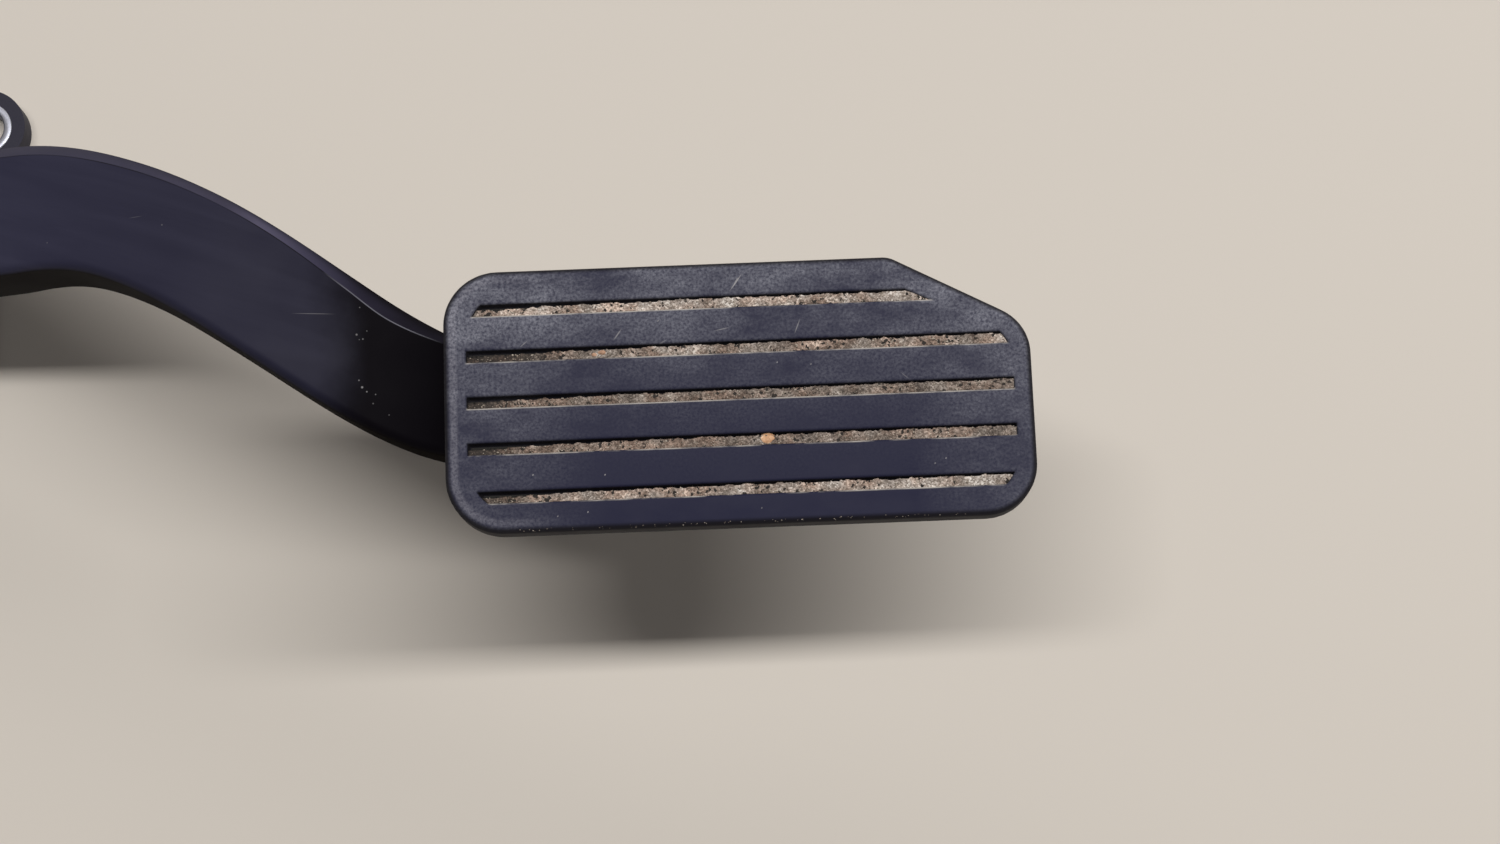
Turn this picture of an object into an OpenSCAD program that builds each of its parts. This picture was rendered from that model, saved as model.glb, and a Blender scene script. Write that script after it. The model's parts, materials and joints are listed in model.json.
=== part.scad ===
// Accelerator pedal module of a car, hung from its housing.
// The housing is bolted to the bulkhead by three sleeved ears. A moulded arm turns on a
// steel shaft in the housing and carries the tread pad. Two nested springs push the arm
// back through a sliding thrust block, and a magnet on the shaft's end turns in front of
// two Hall sensors on the board behind the connector.
//
// Frame, in mm: the origin lies on the mounting face under the middle of the shaft. +Z looks
// at the driver, +X runs along the arm to the toe of the pad and the shaft lies along Y.

/* [Pad] */
// Length of the pad along the arm
pad_l = 112; // [90:1:130]
// Width of the pad
pad_w = 51; // [44:1:60]
// Thickness of the pad at its rim
pad_t = 6; // [5:0.5:9]
// Thickness of the pad over its plate
pad_core_t = 4; // [3.6:0.1:4.5]
// Rounding of the pad's upper edge
pad_edge_r = 1.5; // [0.5:0.1:2]
// Corner radius at the heel of the pad
pad_heel_r = 10.5; // [5:0.5:14]
// Corner radius at the toe of the pad
pad_toe_r = 9; // [5:0.5:11]
// Length of the cut corner, measured along the pad
cut_l = 27; // [15:1:35]
// Width of the cut corner, measured across the pad
cut_w = 14; // [8:1:22]
// Number of grooves in the tread
groove_count = 5; // [1:1:5]
// Width of one groove
groove_w = 2.3; // [1.2:0.1:3.5]
// Depth of one groove
groove_depth = 2.2; // [1:0.1:3]
// Distance from one groove to the next
groove_pitch = 9; // [7:0.5:9.5]
// Plain border between the grooves' ends and the pad's edge
groove_margin = 3.6; // [2.5:0.1:6]
// What that border is wider by at the heel end
groove_heel_gap = 0.7; // [0:0.1:3]
// Radius of the corners at which the grooves stop, heel end
groove_heel_r = 10; // [6:0.5:14]
// Radius of the studs under the pad
stud_r = 2.5; // [1.5:0.1:3.5]
// Half the distance between the studs along the pad
stud_dx = 31; // [20:1:35]
// Half the distance between the studs across the pad
stud_dy = 16; // [14:0.5:17]

/* [Pedal arm] */
// Distance along X from the shaft to the middle of the pad
reach = 229.5; // [215:0.5:250]
// Height of the pad's face above the shaft
pad_rise = 50; // [44:1:56]
// Width of the arm
arm_w = 27; // [24:1:30]
// Width of the arm where it ends under the pad
arm_end_w = 14; // [10:1:18]
// Depth of the arm behind its face at the housing
arm_depth = 16; // [14:0.5:18]
// Sideways step of the arm from the housing to the pad
arm_step = 50.5; // [35:0.5:60]
// Sideways distance of the pad's middle from the arm's middle line
pad_offset = 1; // [-2:0.5:2]
// Length of the stretch over which the arm steps sideways
step_l = 112; // [90:1:120]
// Thickness of the plate that carries the pad
plate_t = 3.4; // [3:0.1:4]
// How far the pad overhangs that plate
plate_inset = 4; // [2:0.5:6]
// Radius of the arm's hub
hub_r = 12; // [10:0.5:12.5]
// Thickness of the arm's walls
arm_wall = 2.4; // [2:0.1:3]
// Number of open cells between the ribs on the arm's back
cell_count = 7; // [4:1:9]
// Thickness of the ribs between the cells
rib_t = 2.5; // [1.5:0.1:4]
// Thickness of the tail that carries the nose
tail_t = 6; // [5:0.5:6]
// Full travel of the pedal in degrees
travel = 14; // [8:1:15]

/* [Shaft and bushes] */
// Radius of the shaft
shaft_r = 5; // [4:0.25:6]
// Wall of the bushes
bush_wall = 1.5; // [1:0.1:2]
// Length of each bush in its boss
bush_l = 6; // [5:0.5:8]
// Thickness of the bush flanges
flange_t = 0.7; // [0.5:0.1:0.8]
// Radius of the pin that locks the hub to the shaft
lock_pin_r = 1.5; // [1:0.1:2]

/* [Return springs] */
// Distance from the shaft to the tail's round nose
tail_r = 22; // [20:0.5:23]
// Radius of the nose
nose_r = 4.5; // [3.5:0.5:5]
// Mean radius of the outer spring
outer_spring_r = 8; // [7:0.1:8.5]
// Wire radius of the outer spring
outer_wire_r = 0.8; // [0.5:0.05:1]
// Turns of the outer spring
outer_turns = 9; // [5:1:10]
// Mean radius of the inner spring
inner_spring_r = 4.8; // [4.3:0.1:5.2]
// Wire radius of the inner spring
inner_wire_r = 0.6; // [0.4:0.05:0.8]
// Turns of the inner spring
inner_turns = 12; // [6:1:13]
// Thickness of the thrust block's face
block_t = 6; // [4:0.5:8]
// Depth of the thrust block below the springs' axis
block_drop = 10; // [9.5:0.5:11]
// Half the height of the thrust block's side skirts
skirt_h = 8; // [6:0.5:9]
// Length of the thrust block's side skirts
skirt_l = 14; // [8:1:18]
// Thickness of the seat at the springs' fixed end
seat_t = 4; // [3:0.5:6]
// Half the width of that seat
seat_half = 10; // [9:0.5:12]

/* [Housing] */
// Height of the shaft above the mounting face
pivot_h = 38; // [37:0.5:42]
// Distance from the shaft back to the rear of the case
rear_reach = 66; // [64:1:76]
// Distance from the shaft to the open front of the case
front_reach = 36; // [32:1:38]
// Distance from the open front to the end of the base
nose_l = 28; // [24:1:28]
// Height of the case above the shaft
case_h = 20; // [19:0.5:24]
// Height of the case over the springs, above the mounting face
low_h = 36; // [35:0.5:38]
// Distance from the shaft back to the end of the case's high part
shoulder_back = 28; // [26:1:30]
// Rounding of the high part's rear corner
shoulder_r = 9; // [7:0.5:10]
// Height of the sill under the open front, above the base
sill_h = 17; // [12:1:18]
// Wall of the case
wall = 2.5; // [2:0.1:3]
// Thickness of the wall that carries the sensor
side_wall = 3; // [2.5:0.1:4]
// Thickness of the base
base_t = 4; // [3:0.5:5]
// How far the base stands out beside the case
base_lip = 6; // [4:1:8]
// Thickness of the side cover
cover_t = 3; // [2:0.1:4]
// Gap between the arm and each side wall
side_gap = 1; // [0.9:0.1:2]

/* [Mounting ears] */
// Outer radius of an ear
ear_r = 9; // [8.5:0.5:11]
// Height of an ear
ear_h = 6; // [5.5:0.5:9]
// Outer radius of the steel sleeve in an ear
sleeve_r = 6.15; // [5.5:0.05:6.5]
// Bore radius of the sleeve
sleeve_bore_r = 4.25; // [3.3:0.05:4.5]
// How far a sleeve stands above its ear
sleeve_proud = 0.3; // [0.1:0.1:0.5]
// Distance along X from the shaft to the ear beside the arm
ear_front_x = 62.2; // [60:0.1:66]
// Distance along X between the two ears on the sensor's side
ear_spacing = 118; // [112:1:122]
// Distance across from the arm's plane to those two ears
ear_out = 36.1; // [33:0.1:39]
// Distance across from the arm's plane to the ear on the cover's side
side_ear_out = 34; // [32:0.5:40]
// Distance along X from the shaft to that ear
side_ear_x = 2; // [-30:1:30]

/* [Sensor] */
// Length of the sensor cap along X
cap_l = 50; // [48:1:54]
// Height of the sensor cap
cap_h = 40; // [39:1:42]
// Wall of the sensor cap
cap_wall = 2; // [1.5:0.1:2.5]
// Depth of the sensor cap from its gasket to its outer face
cap_depth = 17; // [16:0.5:20]
// Thickness of the gasket
gasket_t = 1.2; // [0.8:0.1:2]
// Thickness of the magnet carrier
carrier_t = 5; // [4:0.5:6]
// Radius of the magnet carrier
carrier_r = 9; // [8:0.5:11]
// Radius of one magnet
magnet_r = 2.2; // [1.5:0.1:2.5]
// Thickness of the circuit board
board_t = 1.6; // [1:0.2:2]
// Length of the connector's shroud
socket_l = 18; // [14:1:20]
// Inner height of the connector's shroud
socket_h = 19; // [16:1:20]
// Inner width of the connector's shroud
socket_w = 9.5; // [9:0.5:10]
// Length of a terminal inside the shroud
terminal_l = 7; // [5:1:9]

/* [Fasteners and bumpers] */
// Radius of a screw's shank
screw_r = 1.6; // [1.2:0.1:2]
// Length of a screw under its head
screw_l = 12; // [10:1:16]
// Radius of a screw's head
screw_head_r = 3.2; // [2.6:0.1:3.5]
// Height of a screw's head
screw_head_h = 2; // [1.5:0.1:2.5]
// Radius of a screw boss
boss_r = 3.6; // [3.4:0.1:4]
// Radius of the bumper at full travel
stop_r = 6.5; // [5:0.5:8]
// Height of the post under the bumper at full travel
post_h = 15; // [10:1:17]
// Radius of the bumper at rest
rest_r = 5; // [4:0.5:6]

/* [Fits] */
// Gap all round a pressed or seated piece
seat_gap = 0.02; // [0.01:0.01:0.05]
// Radial gap of the shaft in its bushes
run_gap = 0.05; // [0.02:0.01:0.1]
// Gap between pieces that move past each other
move_gap = 0.3; // [0.2:0.05:0.5]
// Gap between the nose and the thrust block
nose_gap = 0.1; // [0.05:0.05:0.2]

/* [Hidden] */
$fn = 48;
eps = 0.01;

// The middle of the shaft, and the planes of the case.
pivot = [0, 0, pivot_h];
rear_x = pivot.x - rear_reach;
front_x = pivot.x + front_reach;
nose_x = front_x + nose_l;
case_top = pivot.z + case_h;
chamber_y0 = pivot.y - arm_w / 2 - side_gap;
chamber_y1 = pivot.y + arm_w / 2 + side_gap;
case_y1 = chamber_y1 + side_wall;
cover_y0 = chamber_y0 - cover_t;
base_y0 = cover_y0 - base_lip / 2;
base_y1 = case_y1 + base_lip;

// The pad, its heel and the plate under it.
pad_c = [pivot.x + reach, pivot.y - arm_step + pad_offset, pivot.z + pad_rise];
heel_x = pad_c.x - pad_l / 2;
plate_z1 = pad_c.z - pad_core_t;
plate_z0 = plate_z1 - plate_t;

// The arm ends under the pad, and its back is hollow from a little past the base.
arm_x1 = pad_c.x + 27;
cell_x0 = nose_x + 3;

// The sideways step ends a little way under the pad.
step_x1 = heel_x + 23.5;
step_x0 = step_x1 - step_l;

// The tail swings equally to both sides of straight down over the travel.
nose_x0 = pivot.x + tail_r * sin(travel / 2);
nose_z = pivot.z - tail_r * cos(travel / 2);
block_x1 = nose_x0 - nose_r - nose_gap;
block_x0 = block_x1 - block_t;
block_top = pivot.z - hub_r - move_gap - 0.2;
block_half = arm_w / 2 + side_gap - move_gap - 1.2;
lining_half = arm_w / 2 + side_gap - move_gap;
lining_end = 2;
lining_h = skirt_h - 2;
tail_half = arm_w / 2 - 4;
seat_x0 = rear_x + wall;
seat_x1 = seat_x0 + seat_t;
spring_gap = 0.15;

// Screws of the side cover, in X and Z: two in a row over the springs, one in the high
// part's rounded corner and two at the open front.
boss_edge = boss_r + 0.9;
row_z = nose_z + outer_spring_r + outer_wire_r + 1.2 + boss_r;
cover_screw_points = [[rear_x + wall + boss_edge, row_z], [(seat_x1 + block_x0) / 2, row_z],
                      [pivot.x - shoulder_back + shoulder_r, case_top - shoulder_r],
                      [front_x - boss_edge, case_top - boss_edge],
                      [front_x - boss_edge, base_t + boss_edge]];

// The sensor cap, its screws, the board behind it and the connector's shroud.
bush_boss_r = shaft_r + bush_wall + 3;
bush_boss_y1 = chamber_y1 + bush_l;
cap_y0 = case_y1 + gasket_t;
cap_y1 = cap_y0 + cap_depth;
cap_x0 = pivot.x - cap_l / 2 + 2;
cap_z0 = pivot.z - cap_h / 2 - 3;
carrier_y0 = bush_boss_y1 + move_gap;
carrier_y1 = carrier_y0 + carrier_t;
chip_t = 1.4;
chip_l = 5.2;
chip_w = 4;
chip_pitch = 6.8;
capacitor_l = 2;
capacitor_t = 1.2;
capacitor_pitch = 4;
board_y0 = carrier_y1 + 1 + chip_t;
board_y1 = board_y0 + board_t;
cap_ear_r = 4;
cap_ear_out = cap_ear_r - 0.4;
cap_ear_h = 4;
cap_screw_l = 8;
cap_screw_points = [[cap_x0 - cap_ear_out, cap_z0 + 3], [cap_x0 + cap_l + cap_ear_out, cap_z0 + 5],
                    [cap_x0 + cap_l + cap_ear_out, cap_z0 + cap_h - 8],
                    [cap_x0 - cap_ear_out, cap_z0 + cap_h - 3]];
socket_y = cap_y0 + 2 + socket_w / 2;
socket_z = cap_z0 + 9 + socket_h / 2;
terminal_w = 0.8;
row_pitch = 4;
column_pitch = 5;
terminal_rows = [-0.5, 0.5];
terminal_columns = [-1, 0, 1];

// Where the bumpers meet the arm.
stop_x = front_x + 15;
rest_x = front_x - 14;
stop_reach = [stop_x + 2 - pivot.x, arm_face(stop_x + 2) - arm_thick(stop_x + 2) - pivot.z];
stop_z1 = pivot.z - stop_reach[0] * sin(travel) + stop_reach[1] * cos(travel) - move_gap - 0.5;
stem_r = 2.5;
rest_z0 = arm_face(rest_x + rest_r) + move_gap;

// Arc of radius r from angle a0 to angle a1 about c, in n steps.
function arc(c, r, a0, a1, n = 8) =
    [for (i = [0:n]) c + r * [cos(a0 + (a1 - a0) * i / n), sin(a0 + (a1 - a0) * i / n)]];

// Corners [x, y, radius], anticlockwise, as one outline with each corner rounded.
function rounded(corners, n = 8) = [
    for (i = [0:len(corners) - 1])
        let (p = corners[i],
             a = corners[(i + len(corners) - 1) % len(corners)],
             b = corners[(i + 1) % len(corners)],
             u = unit([a.x - p.x, a.y - p.y]),
             v = unit([b.x - p.x, b.y - p.y]),
             half = acos(u * v) / 2,
             c = [p.x, p.y] + unit(u + v) * p[2] / sin(half),
             start = atan2(v.x, -v.y) + 2 * half)
        for (q = arc(c, p[2], start, start + 180 - 2 * half, n)) q];

function unit(v) = v / norm(v);

// Smooth curve through points [x, y], read at x: cubic pieces whose slopes come from the
// points on both sides.
function slope(p, i) =
    i == 0 ? (p[1].y - p[0].y) / (p[1].x - p[0].x) :
    i == len(p) - 1 ? (p[i].y - p[i - 1].y) / (p[i].x - p[i - 1].x) :
    (p[i + 1].y - p[i - 1].y) / (p[i + 1].x - p[i - 1].x);
function curve(p, x, i = 0) =
    i < len(p) - 2 && x > p[i + 1].x ? curve(p, x, i + 1) :
    let (h = p[i + 1].x - p[i].x, t = min(1, max(0, (x - p[i].x) / h)))
    (1 + 2 * t) * (1 - t) * (1 - t) * p[i].y + t * (1 - t) * (1 - t) * h * slope(p, i)
    + t * t * (3 - 2 * t) * p[i + 1].y - t * t * (1 - t) * h * slope(p, i + 1);

// The arm: centre line, face height, depth and width at x.
function arm_turn(x) = 180 * min(1, max(0, (x - step_x0) / step_l));
function arm_y(x) = pivot.y - arm_step * (1 - cos(arm_turn(x))) / 2;
function arm_heading(x) = atan(-arm_step * PI / 2 / step_l * sin(arm_turn(x)));
function arm_face(x) = curve([
    [pivot.x, pivot.z + 3],
    [heel_x - 52.5, pad_c.z - 15.6],
    [heel_x - 33, pad_c.z - 14.2],
    [heel_x - 11, pad_c.z - 16.6],
    [heel_x, pad_c.z - 15],
    [heel_x + 16, plate_z0 + 1],
    [heel_x + 24, plate_z0 + 1.5],
    [arm_x1, plate_z0 + 1.5]], x);
function arm_thick(x) = curve([
    [pivot.x, arm_depth],
    [heel_x - 95, arm_depth + 2],
    [heel_x - 68, arm_depth - 1],
    [heel_x - 33, arm_depth - 6.5],
    [heel_x - 5, arm_depth - 6.5],
    [heel_x + 18, arm_depth - 2.5],
    [arm_x1, 6]], x);
function arm_width(x) = curve([
    [pivot.x, arm_w - 1.5],
    [front_x, arm_w],
    [heel_x - 90, arm_w + 0.3],
    [heel_x - 68, arm_w - 2],
    [heel_x - 33, arm_w - 2.4],
    [heel_x - 4, arm_w - 3.5],
    [heel_x + 22, arm_w - 9],
    [arm_x1, arm_end_w]], x);
function arm_bevel(x) = curve([
    [pivot.x, 1.8],
    [heel_x - 95, 2.8],
    [heel_x - 50, 2],
    [heel_x - 17, 3.8],
    [heel_x, 1.6],
    [arm_x1, 1]], x);

// Section of the arm at x: a beam with a bevel along its +Y edge and a round -Y edge.
function arm_section(x) =
    let (w = arm_width(x) / 2, d = arm_thick(x), b = arm_bevel(x), r = 2, f = 1.5)
    concat(arc([-w + f, -d + f], f, 180, 270, 2), arc([w - f, -d + f], f, 270, 360, 2),
           [[w, -b * 1.1], [w - b, 0]], arc([-w + r, -r], r, 90, 180, 4));

// Rings of points along a path, each anticlockwise when seen from the path's end, skinned
// as one closed solid.
module skin(rings) {
    n = len(rings[0]);
    m = len(rings);
    points = [for (ring = rings) each ring];
    sides = [for (i = [0:m - 2], j = [0:n - 1], k = [0, 1])
        let (a = i * n + j, b = i * n + (j + 1) % n)
        k == 0 ? [a, b + n, b] : [a, a + n, b + n]];
    caps = [[for (j = [0:n - 1]) j], [for (j = [n - 1:-1:0]) (m - 1) * n + j]];
    polyhedron(points, concat(sides, caps));
}

// A shape drawn in X and Z, carried along Y from y0 to y1.
module along_y(y0, y1) {
    translate([0, y1, 0]) rotate([90, 0, 0]) linear_extrude(y1 - y0) children();
}

// A round bar along Y at [x, z].
module bar_y(p, r, y0, y1) {
    translate([p[0], y0, p[1]]) rotate([-90, 0, 0]) cylinder(r = r, h = y1 - y0);
}

// A plain box between two corners.
module block(low, high) {
    translate(low) cube(high - low);
}

// ---- housing ----

ears = [[pivot.x + ear_front_x, pivot.y + ear_out],
        [pivot.x + ear_front_x - ear_spacing, pivot.y + ear_out],
        [pivot.x + side_ear_x, pivot.y - side_ear_out]];

module case_outline() {
    polygon(rounded([[rear_x, 0, eps], [front_x, 0, eps], [front_x, case_top, 3],
                     [pivot.x - shoulder_back, case_top, shoulder_r],
                     [pivot.x - shoulder_back - 7, low_h, 5], [rear_x, low_h, 5]]));
}

module chamber_outline() {
    intersection() {
        offset(delta = -wall) case_outline();
        translate([rear_x, base_t]) square([rear_reach + front_reach, case_top]);
    }
}

// The web that runs from an ear to the base, its foot kept inside the base's corners.
module ear_web(p) {
    foot_x0 = max(p.x - 1.4 * ear_r, rear_x + 6);
    foot_x1 = min(p.x + 1.4 * ear_r, nose_x - 6);
    hull() {
        translate(p) circle(r = ear_r - 1);
        translate([foot_x0, p.y > 0 ? base_y1 - 8 : base_y0 + 1]) square([foot_x1 - foot_x0, 1]);
    }
}

module base() {
    linear_extrude(base_t)
        polygon(rounded([[rear_x, base_y0, 5], [nose_x, base_y0, 7],
                         [nose_x, base_y1, 3], [rear_x, base_y1, 5]]));
    for (p = ears) {
        linear_extrude(base_t + 1) ear_web(p);
        translate(p) cylinder(r = ear_r, h = ear_h);
    }
}

module screw_bosses() {
    for (p = cover_screw_points) bar_y(p, boss_r, chamber_y0, chamber_y1 + 1);
}

// Ribs between base and case: three beside the case, one along each edge of the base in
// front of it, and one that backs the post.
module base_ribs() {
    rib = 2;
    side_rib_in = 14;
    side_rib_pitch = 20;
    side_rib_h = 13;
    edge_rib_end = 4;
    for (x = [rear_x + side_rib_in, rear_x + side_rib_in + side_rib_pitch, front_x - rib])
        block([x, case_y1 - 1, 1], [x + rib, case_y1 + base_lip - 1, side_rib_h]);
    for (y = [chamber_y0, chamber_y1 - rib])
        along_y(y, y + rib)
            polygon([[front_x - 1, 1], [nose_x - edge_rib_end, 1],
                     [nose_x - edge_rib_end, base_t + rib], [front_x - 1, post_h - rib]]);
    block([front_x - 1, pivot.y - rib / 2, 1], [stop_x, pivot.y + rib / 2, post_h - 2 * rib]);
}

module housing() {
    color("#1d1f24") difference() {
        union() {
            base();
            difference() {
                along_y(chamber_y0, case_y1) case_outline();
                along_y(chamber_y0 - 1, chamber_y1) chamber_outline();
                block([front_x - wall - 1, chamber_y0 - 1, base_t + sill_h],
                      [front_x + 1, chamber_y1, case_top - wall]);
            }
            intersection() {
                screw_bosses();
                along_y(chamber_y0, case_y1) case_outline();
            }
            bar_y([pivot.x, pivot.z], bush_boss_r, chamber_y1, bush_boss_y1);
            for (p = cap_screw_points) bar_y(p, cap_ear_r, chamber_y1, cap_y0 - seat_gap);
            translate([stop_x, pivot.y, 0]) cylinder(r = stop_r + 1.5, h = post_h);
            base_ribs();
        }
        for (p = ears)
            translate([p.x, p.y, -1]) cylinder(r = sleeve_r + seat_gap, h = ear_h + 2);
        bar_y([pivot.x, pivot.z], shaft_r + bush_wall + seat_gap, chamber_y1 - 1,
              bush_boss_y1 + 1);
        for (p = cover_screw_points)
            bar_y(p, screw_r + seat_gap, chamber_y0 - 1, chamber_y0 + screw_l - cover_t + 1);
        for (p = cap_screw_points)
            bar_y(p, screw_r + seat_gap, cap_y0 + cap_ear_h - cap_screw_l - 0.2, cap_y0 + 1);
        translate([stop_x, pivot.y, post_h - 6]) cylinder(r = stem_r + seat_gap, h = 7);
        translate([rest_x, pivot.y, case_top - wall - 1]) cylinder(r = stem_r + seat_gap, h = wall + 2);
    }
}

module side_cover() {
    color("#24262c") difference() {
        union() {
            along_y(cover_y0, chamber_y0)
                intersection() {
                    case_outline();
                    translate([rear_x, base_t + move_gap])
                        square([rear_reach + front_reach, case_top]);
                }
            bar_y([pivot.x, pivot.z], bush_boss_r, chamber_y0 - bush_l - 2, chamber_y0);
            along_y(cover_y0 - 1.2, cover_y0) {
                translate([rear_x + 14, nose_z - 1]) square([rear_reach - 26, 2]);
                translate([pivot.x - 1, base_t + 5])
                    square([2, pivot.z - bush_boss_r - base_t - 3]);
                translate([pivot.x + bush_boss_r - 2, pivot.z - 1])
                    square([front_reach - bush_boss_r - 5, 2]);
            }
        }
        bar_y([pivot.x, pivot.z], shaft_r + bush_wall + seat_gap, chamber_y0 - bush_l,
              chamber_y0 + 1);
        for (p = cover_screw_points)
            bar_y(p, screw_r + 0.2, cover_y0 - 3, chamber_y0 + 1);
    }
}

// A pan-head screw with its head at y, running towards +Y or -Y, with a cross recess.
module screw(p, y, way, l) {
    turn = way > 0 ? 0 : 180;
    slot = 0.8;
    slot_depth = 1.2;
    translate([p[0], y, p[1]]) rotate([0, 0, turn]) rotate([-90, 0, 0]) difference() {
        union() {
            translate([0, 0, -screw_head_h]) cylinder(r1 = screw_head_r * 0.8, r2 = screw_head_r,
                                                      h = screw_head_h);
            cylinder(r = screw_r, h = l);
        }
        for (a = [0, 90])
            rotate([0, 0, a]) translate([-screw_head_r / 2, -slot / 2, -screw_head_h - 1])
                cube([screw_head_r, slot, slot_depth + 1]);
    }
}

module cover_screws() {
    color("silver") for (p = cover_screw_points) screw(p, cover_y0 - eps, 1, screw_l);
}

module sensor_cap_screws() {
    color("silver") for (p = cap_screw_points) screw(p, cap_y0 + cap_ear_h + eps, -1, cap_screw_l);
}

module mounting_sleeves() {
    color("lightgray") for (p = ears)
        translate([p.x, p.y, 0]) difference() {
            cylinder(r = sleeve_r, h = ear_h + sleeve_proud);
            translate([0, 0, -1]) cylinder(r = sleeve_bore_r, h = ear_h + 4);
        }
}

// A flanged bush: its sleeve runs from the chamber's wall at y outwards.
module bush(y, way) {
    translate([pivot.x, y, pivot.z]) rotate([way > 0 ? -90 : 90, 0, 0]) difference() {
        union() {
            cylinder(r = shaft_r + bush_wall, h = bush_l);
            translate([0, 0, -flange_t]) cylinder(r = shaft_r + bush_wall + 2, h = flange_t);
        }
        translate([0, 0, -2]) cylinder(r = shaft_r + run_gap, h = bush_l + 4);
    }
}

module bush_cover_side() {
    color("#c9b98a") bush(chamber_y0, -1);
}

module bush_sensor_side() {
    color("#c9b98a") bush(chamber_y1, 1);
}

// ---- bumpers ----

module stop_bumper() {
    color("#15151a") translate([stop_x, pivot.y, post_h]) {
        cylinder(r = stop_r, h = stop_z1 - post_h - 1);
        translate([0, 0, stop_z1 - post_h - 1]) cylinder(r1 = stop_r, r2 = stop_r - 1, h = 1);
        translate([0, 0, -5]) cylinder(r = stem_r, h = 5 + eps);
    }
}

module rest_bumper() {
    roof = case_top - wall;
    color("#15151a") translate([rest_x, pivot.y, 0]) {
        translate([0, 0, rest_z0]) cylinder(r = rest_r, h = roof - rest_z0);
        translate([0, 0, roof - eps]) cylinder(r = stem_r, h = wall + 2 * eps);
        translate([0, 0, case_top + eps]) cylinder(r1 = stem_r + 1.5, r2 = stem_r, h = 2);
    }
}

// ---- pedal ----

module plate_outline(inset) {
    polygon(rounded([
        [-pad_l / 2 + inset, -pad_w / 2 + inset, pad_heel_r - inset / 2],
        [pad_l / 2 - inset, -pad_w / 2 + inset, pad_toe_r - inset / 2],
        [pad_l / 2 - inset, pad_w / 2 - cut_w - inset * 0.3, pad_toe_r - inset / 2],
        [pad_l / 2 - cut_l - inset * 0.3, pad_w / 2 - inset, 5],
        [-pad_l / 2 + inset, pad_w / 2 - inset, pad_heel_r - inset / 2]]));
}

// The field that the grooves lie in, with a wider border at the heel and along the cut.
module groove_field() {
    m = groove_margin;
    heel_end = m + groove_heel_gap - pad_l / 2;
    polygon(rounded([
        [heel_end, m - pad_w / 2, groove_heel_r],
        [pad_l / 2 - m, m - pad_w / 2, pad_toe_r - m / 2],
        [pad_l / 2 - m, pad_w / 2 - cut_w - m * 0.6, pad_toe_r - m / 2],
        [pad_l / 2 - cut_l - m, pad_w / 2 - m, 5],
        [heel_end, pad_w / 2 - m, groove_heel_r]]));
}

stud_points = [for (x = [-stud_dx, stud_dx], y = [-stud_dy, stud_dy]) [x, y]];
stud_out = 2.4;

// Section of the hollow in the arm's back at x.
function cell_section(x) =
    let (w = arm_width(x) / 2 - arm_wall, d = arm_thick(x) + 1, b = arm_bevel(x))
    [[-w, -d], [w, -d], [w, -arm_wall - b], [w - b, -arm_wall], [1.5 - w, -arm_wall],
     [-w, -arm_wall - 1.5]];

// A point of a section, set square to the arm's centre line at x.
function on_arm(q, x) =
    let (a = arm_heading(x)) [x - q.x * sin(a), arm_y(x) + q.x * cos(a), arm_face(x) + q.y];

module beam() {
    stations = 44;
    skin([for (i = [0:stations])
        let (x = pivot.x + 4 + (arm_x1 - pivot.x - 4) * i / stations)
        [for (q = arm_section(x)) on_arm(q, x)]]);
}

module beam_cell(x0, x1) {
    skin([for (i = [0:4])
        let (x = x0 + (x1 - x0) * i / 4)
        [for (q = cell_section(x)) on_arm(q, x)]]);
}

module pedal_arm() {
    pitch = (pad_c.x + 10 - cell_x0) / cell_count;
    color("#22252d") difference() {
        union() {
            beam();
            bar_y([pivot.x, pivot.z], hub_r, pivot.y - arm_w / 2, pivot.y + arm_w / 2);
            translate([pivot.x, 0, pivot.z]) rotate([0, -travel / 2, 0])
                block([-tail_t / 2, pivot.y - tail_half, -tail_r],
                      [tail_t / 2, pivot.y + tail_half, 1 - hub_r]);
            bar_y([nose_x0, nose_z], nose_r, pivot.y - tail_half, pivot.y + tail_half);
            translate([pad_c.x, pad_c.y, plate_z0]) linear_extrude(plate_t)
                plate_outline(plate_inset);
        }
        bar_y([pivot.x, pivot.z], shaft_r + seat_gap, pivot.y - arm_w, pivot.y + arm_w);
        translate([pivot.x, pivot.y, pivot.z - 1])
            cylinder(r = lock_pin_r + seat_gap, h = hub_r + 4);
        for (i = [0:cell_count - 1])
            beam_cell(cell_x0 + pitch * i, cell_x0 + pitch * (i + 1) - rib_t);
        for (p = stud_points)
            translate([pad_c.x + p.x, pad_c.y + p.y, plate_z0 - 1])
                cylinder(r = stud_r + 0.1, h = plate_t + 2);
    }
}

module pedal_pad() {
    color("#2b2e36") translate([pad_c.x, pad_c.y, pad_c.z - pad_t]) {
        difference() {
            union() {
                linear_extrude(pad_t - pad_edge_r) plate_outline(0);
                for (i = [0:3]) translate([0, 0, pad_t - pad_edge_r - eps])
                    linear_extrude(pad_edge_r * sin(22.5 * (i + 1)) + eps)
                        plate_outline(pad_edge_r * (1 - cos(22.5 * i)));
            }
            intersection() {
                for (i = [0:groove_count - 1])
                    translate([-pad_l, (i - (groove_count - 1) / 2) * groove_pitch - groove_w / 2,
                               pad_t - groove_depth])
                        cube([2 * pad_l, groove_w, groove_depth + 1]);
                linear_extrude(pad_t + 1) groove_field();
            }
            translate([0, 0, -1]) linear_extrude(pad_t - pad_core_t + 1)
                plate_outline(plate_inset - 0.1);
        }
        for (p = stud_points)
            translate([p.x, p.y, plate_z0 - stud_out - pad_c.z + pad_t])
                cylinder(r = stud_r, h = plate_t + stud_out + eps);
    }
}

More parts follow.
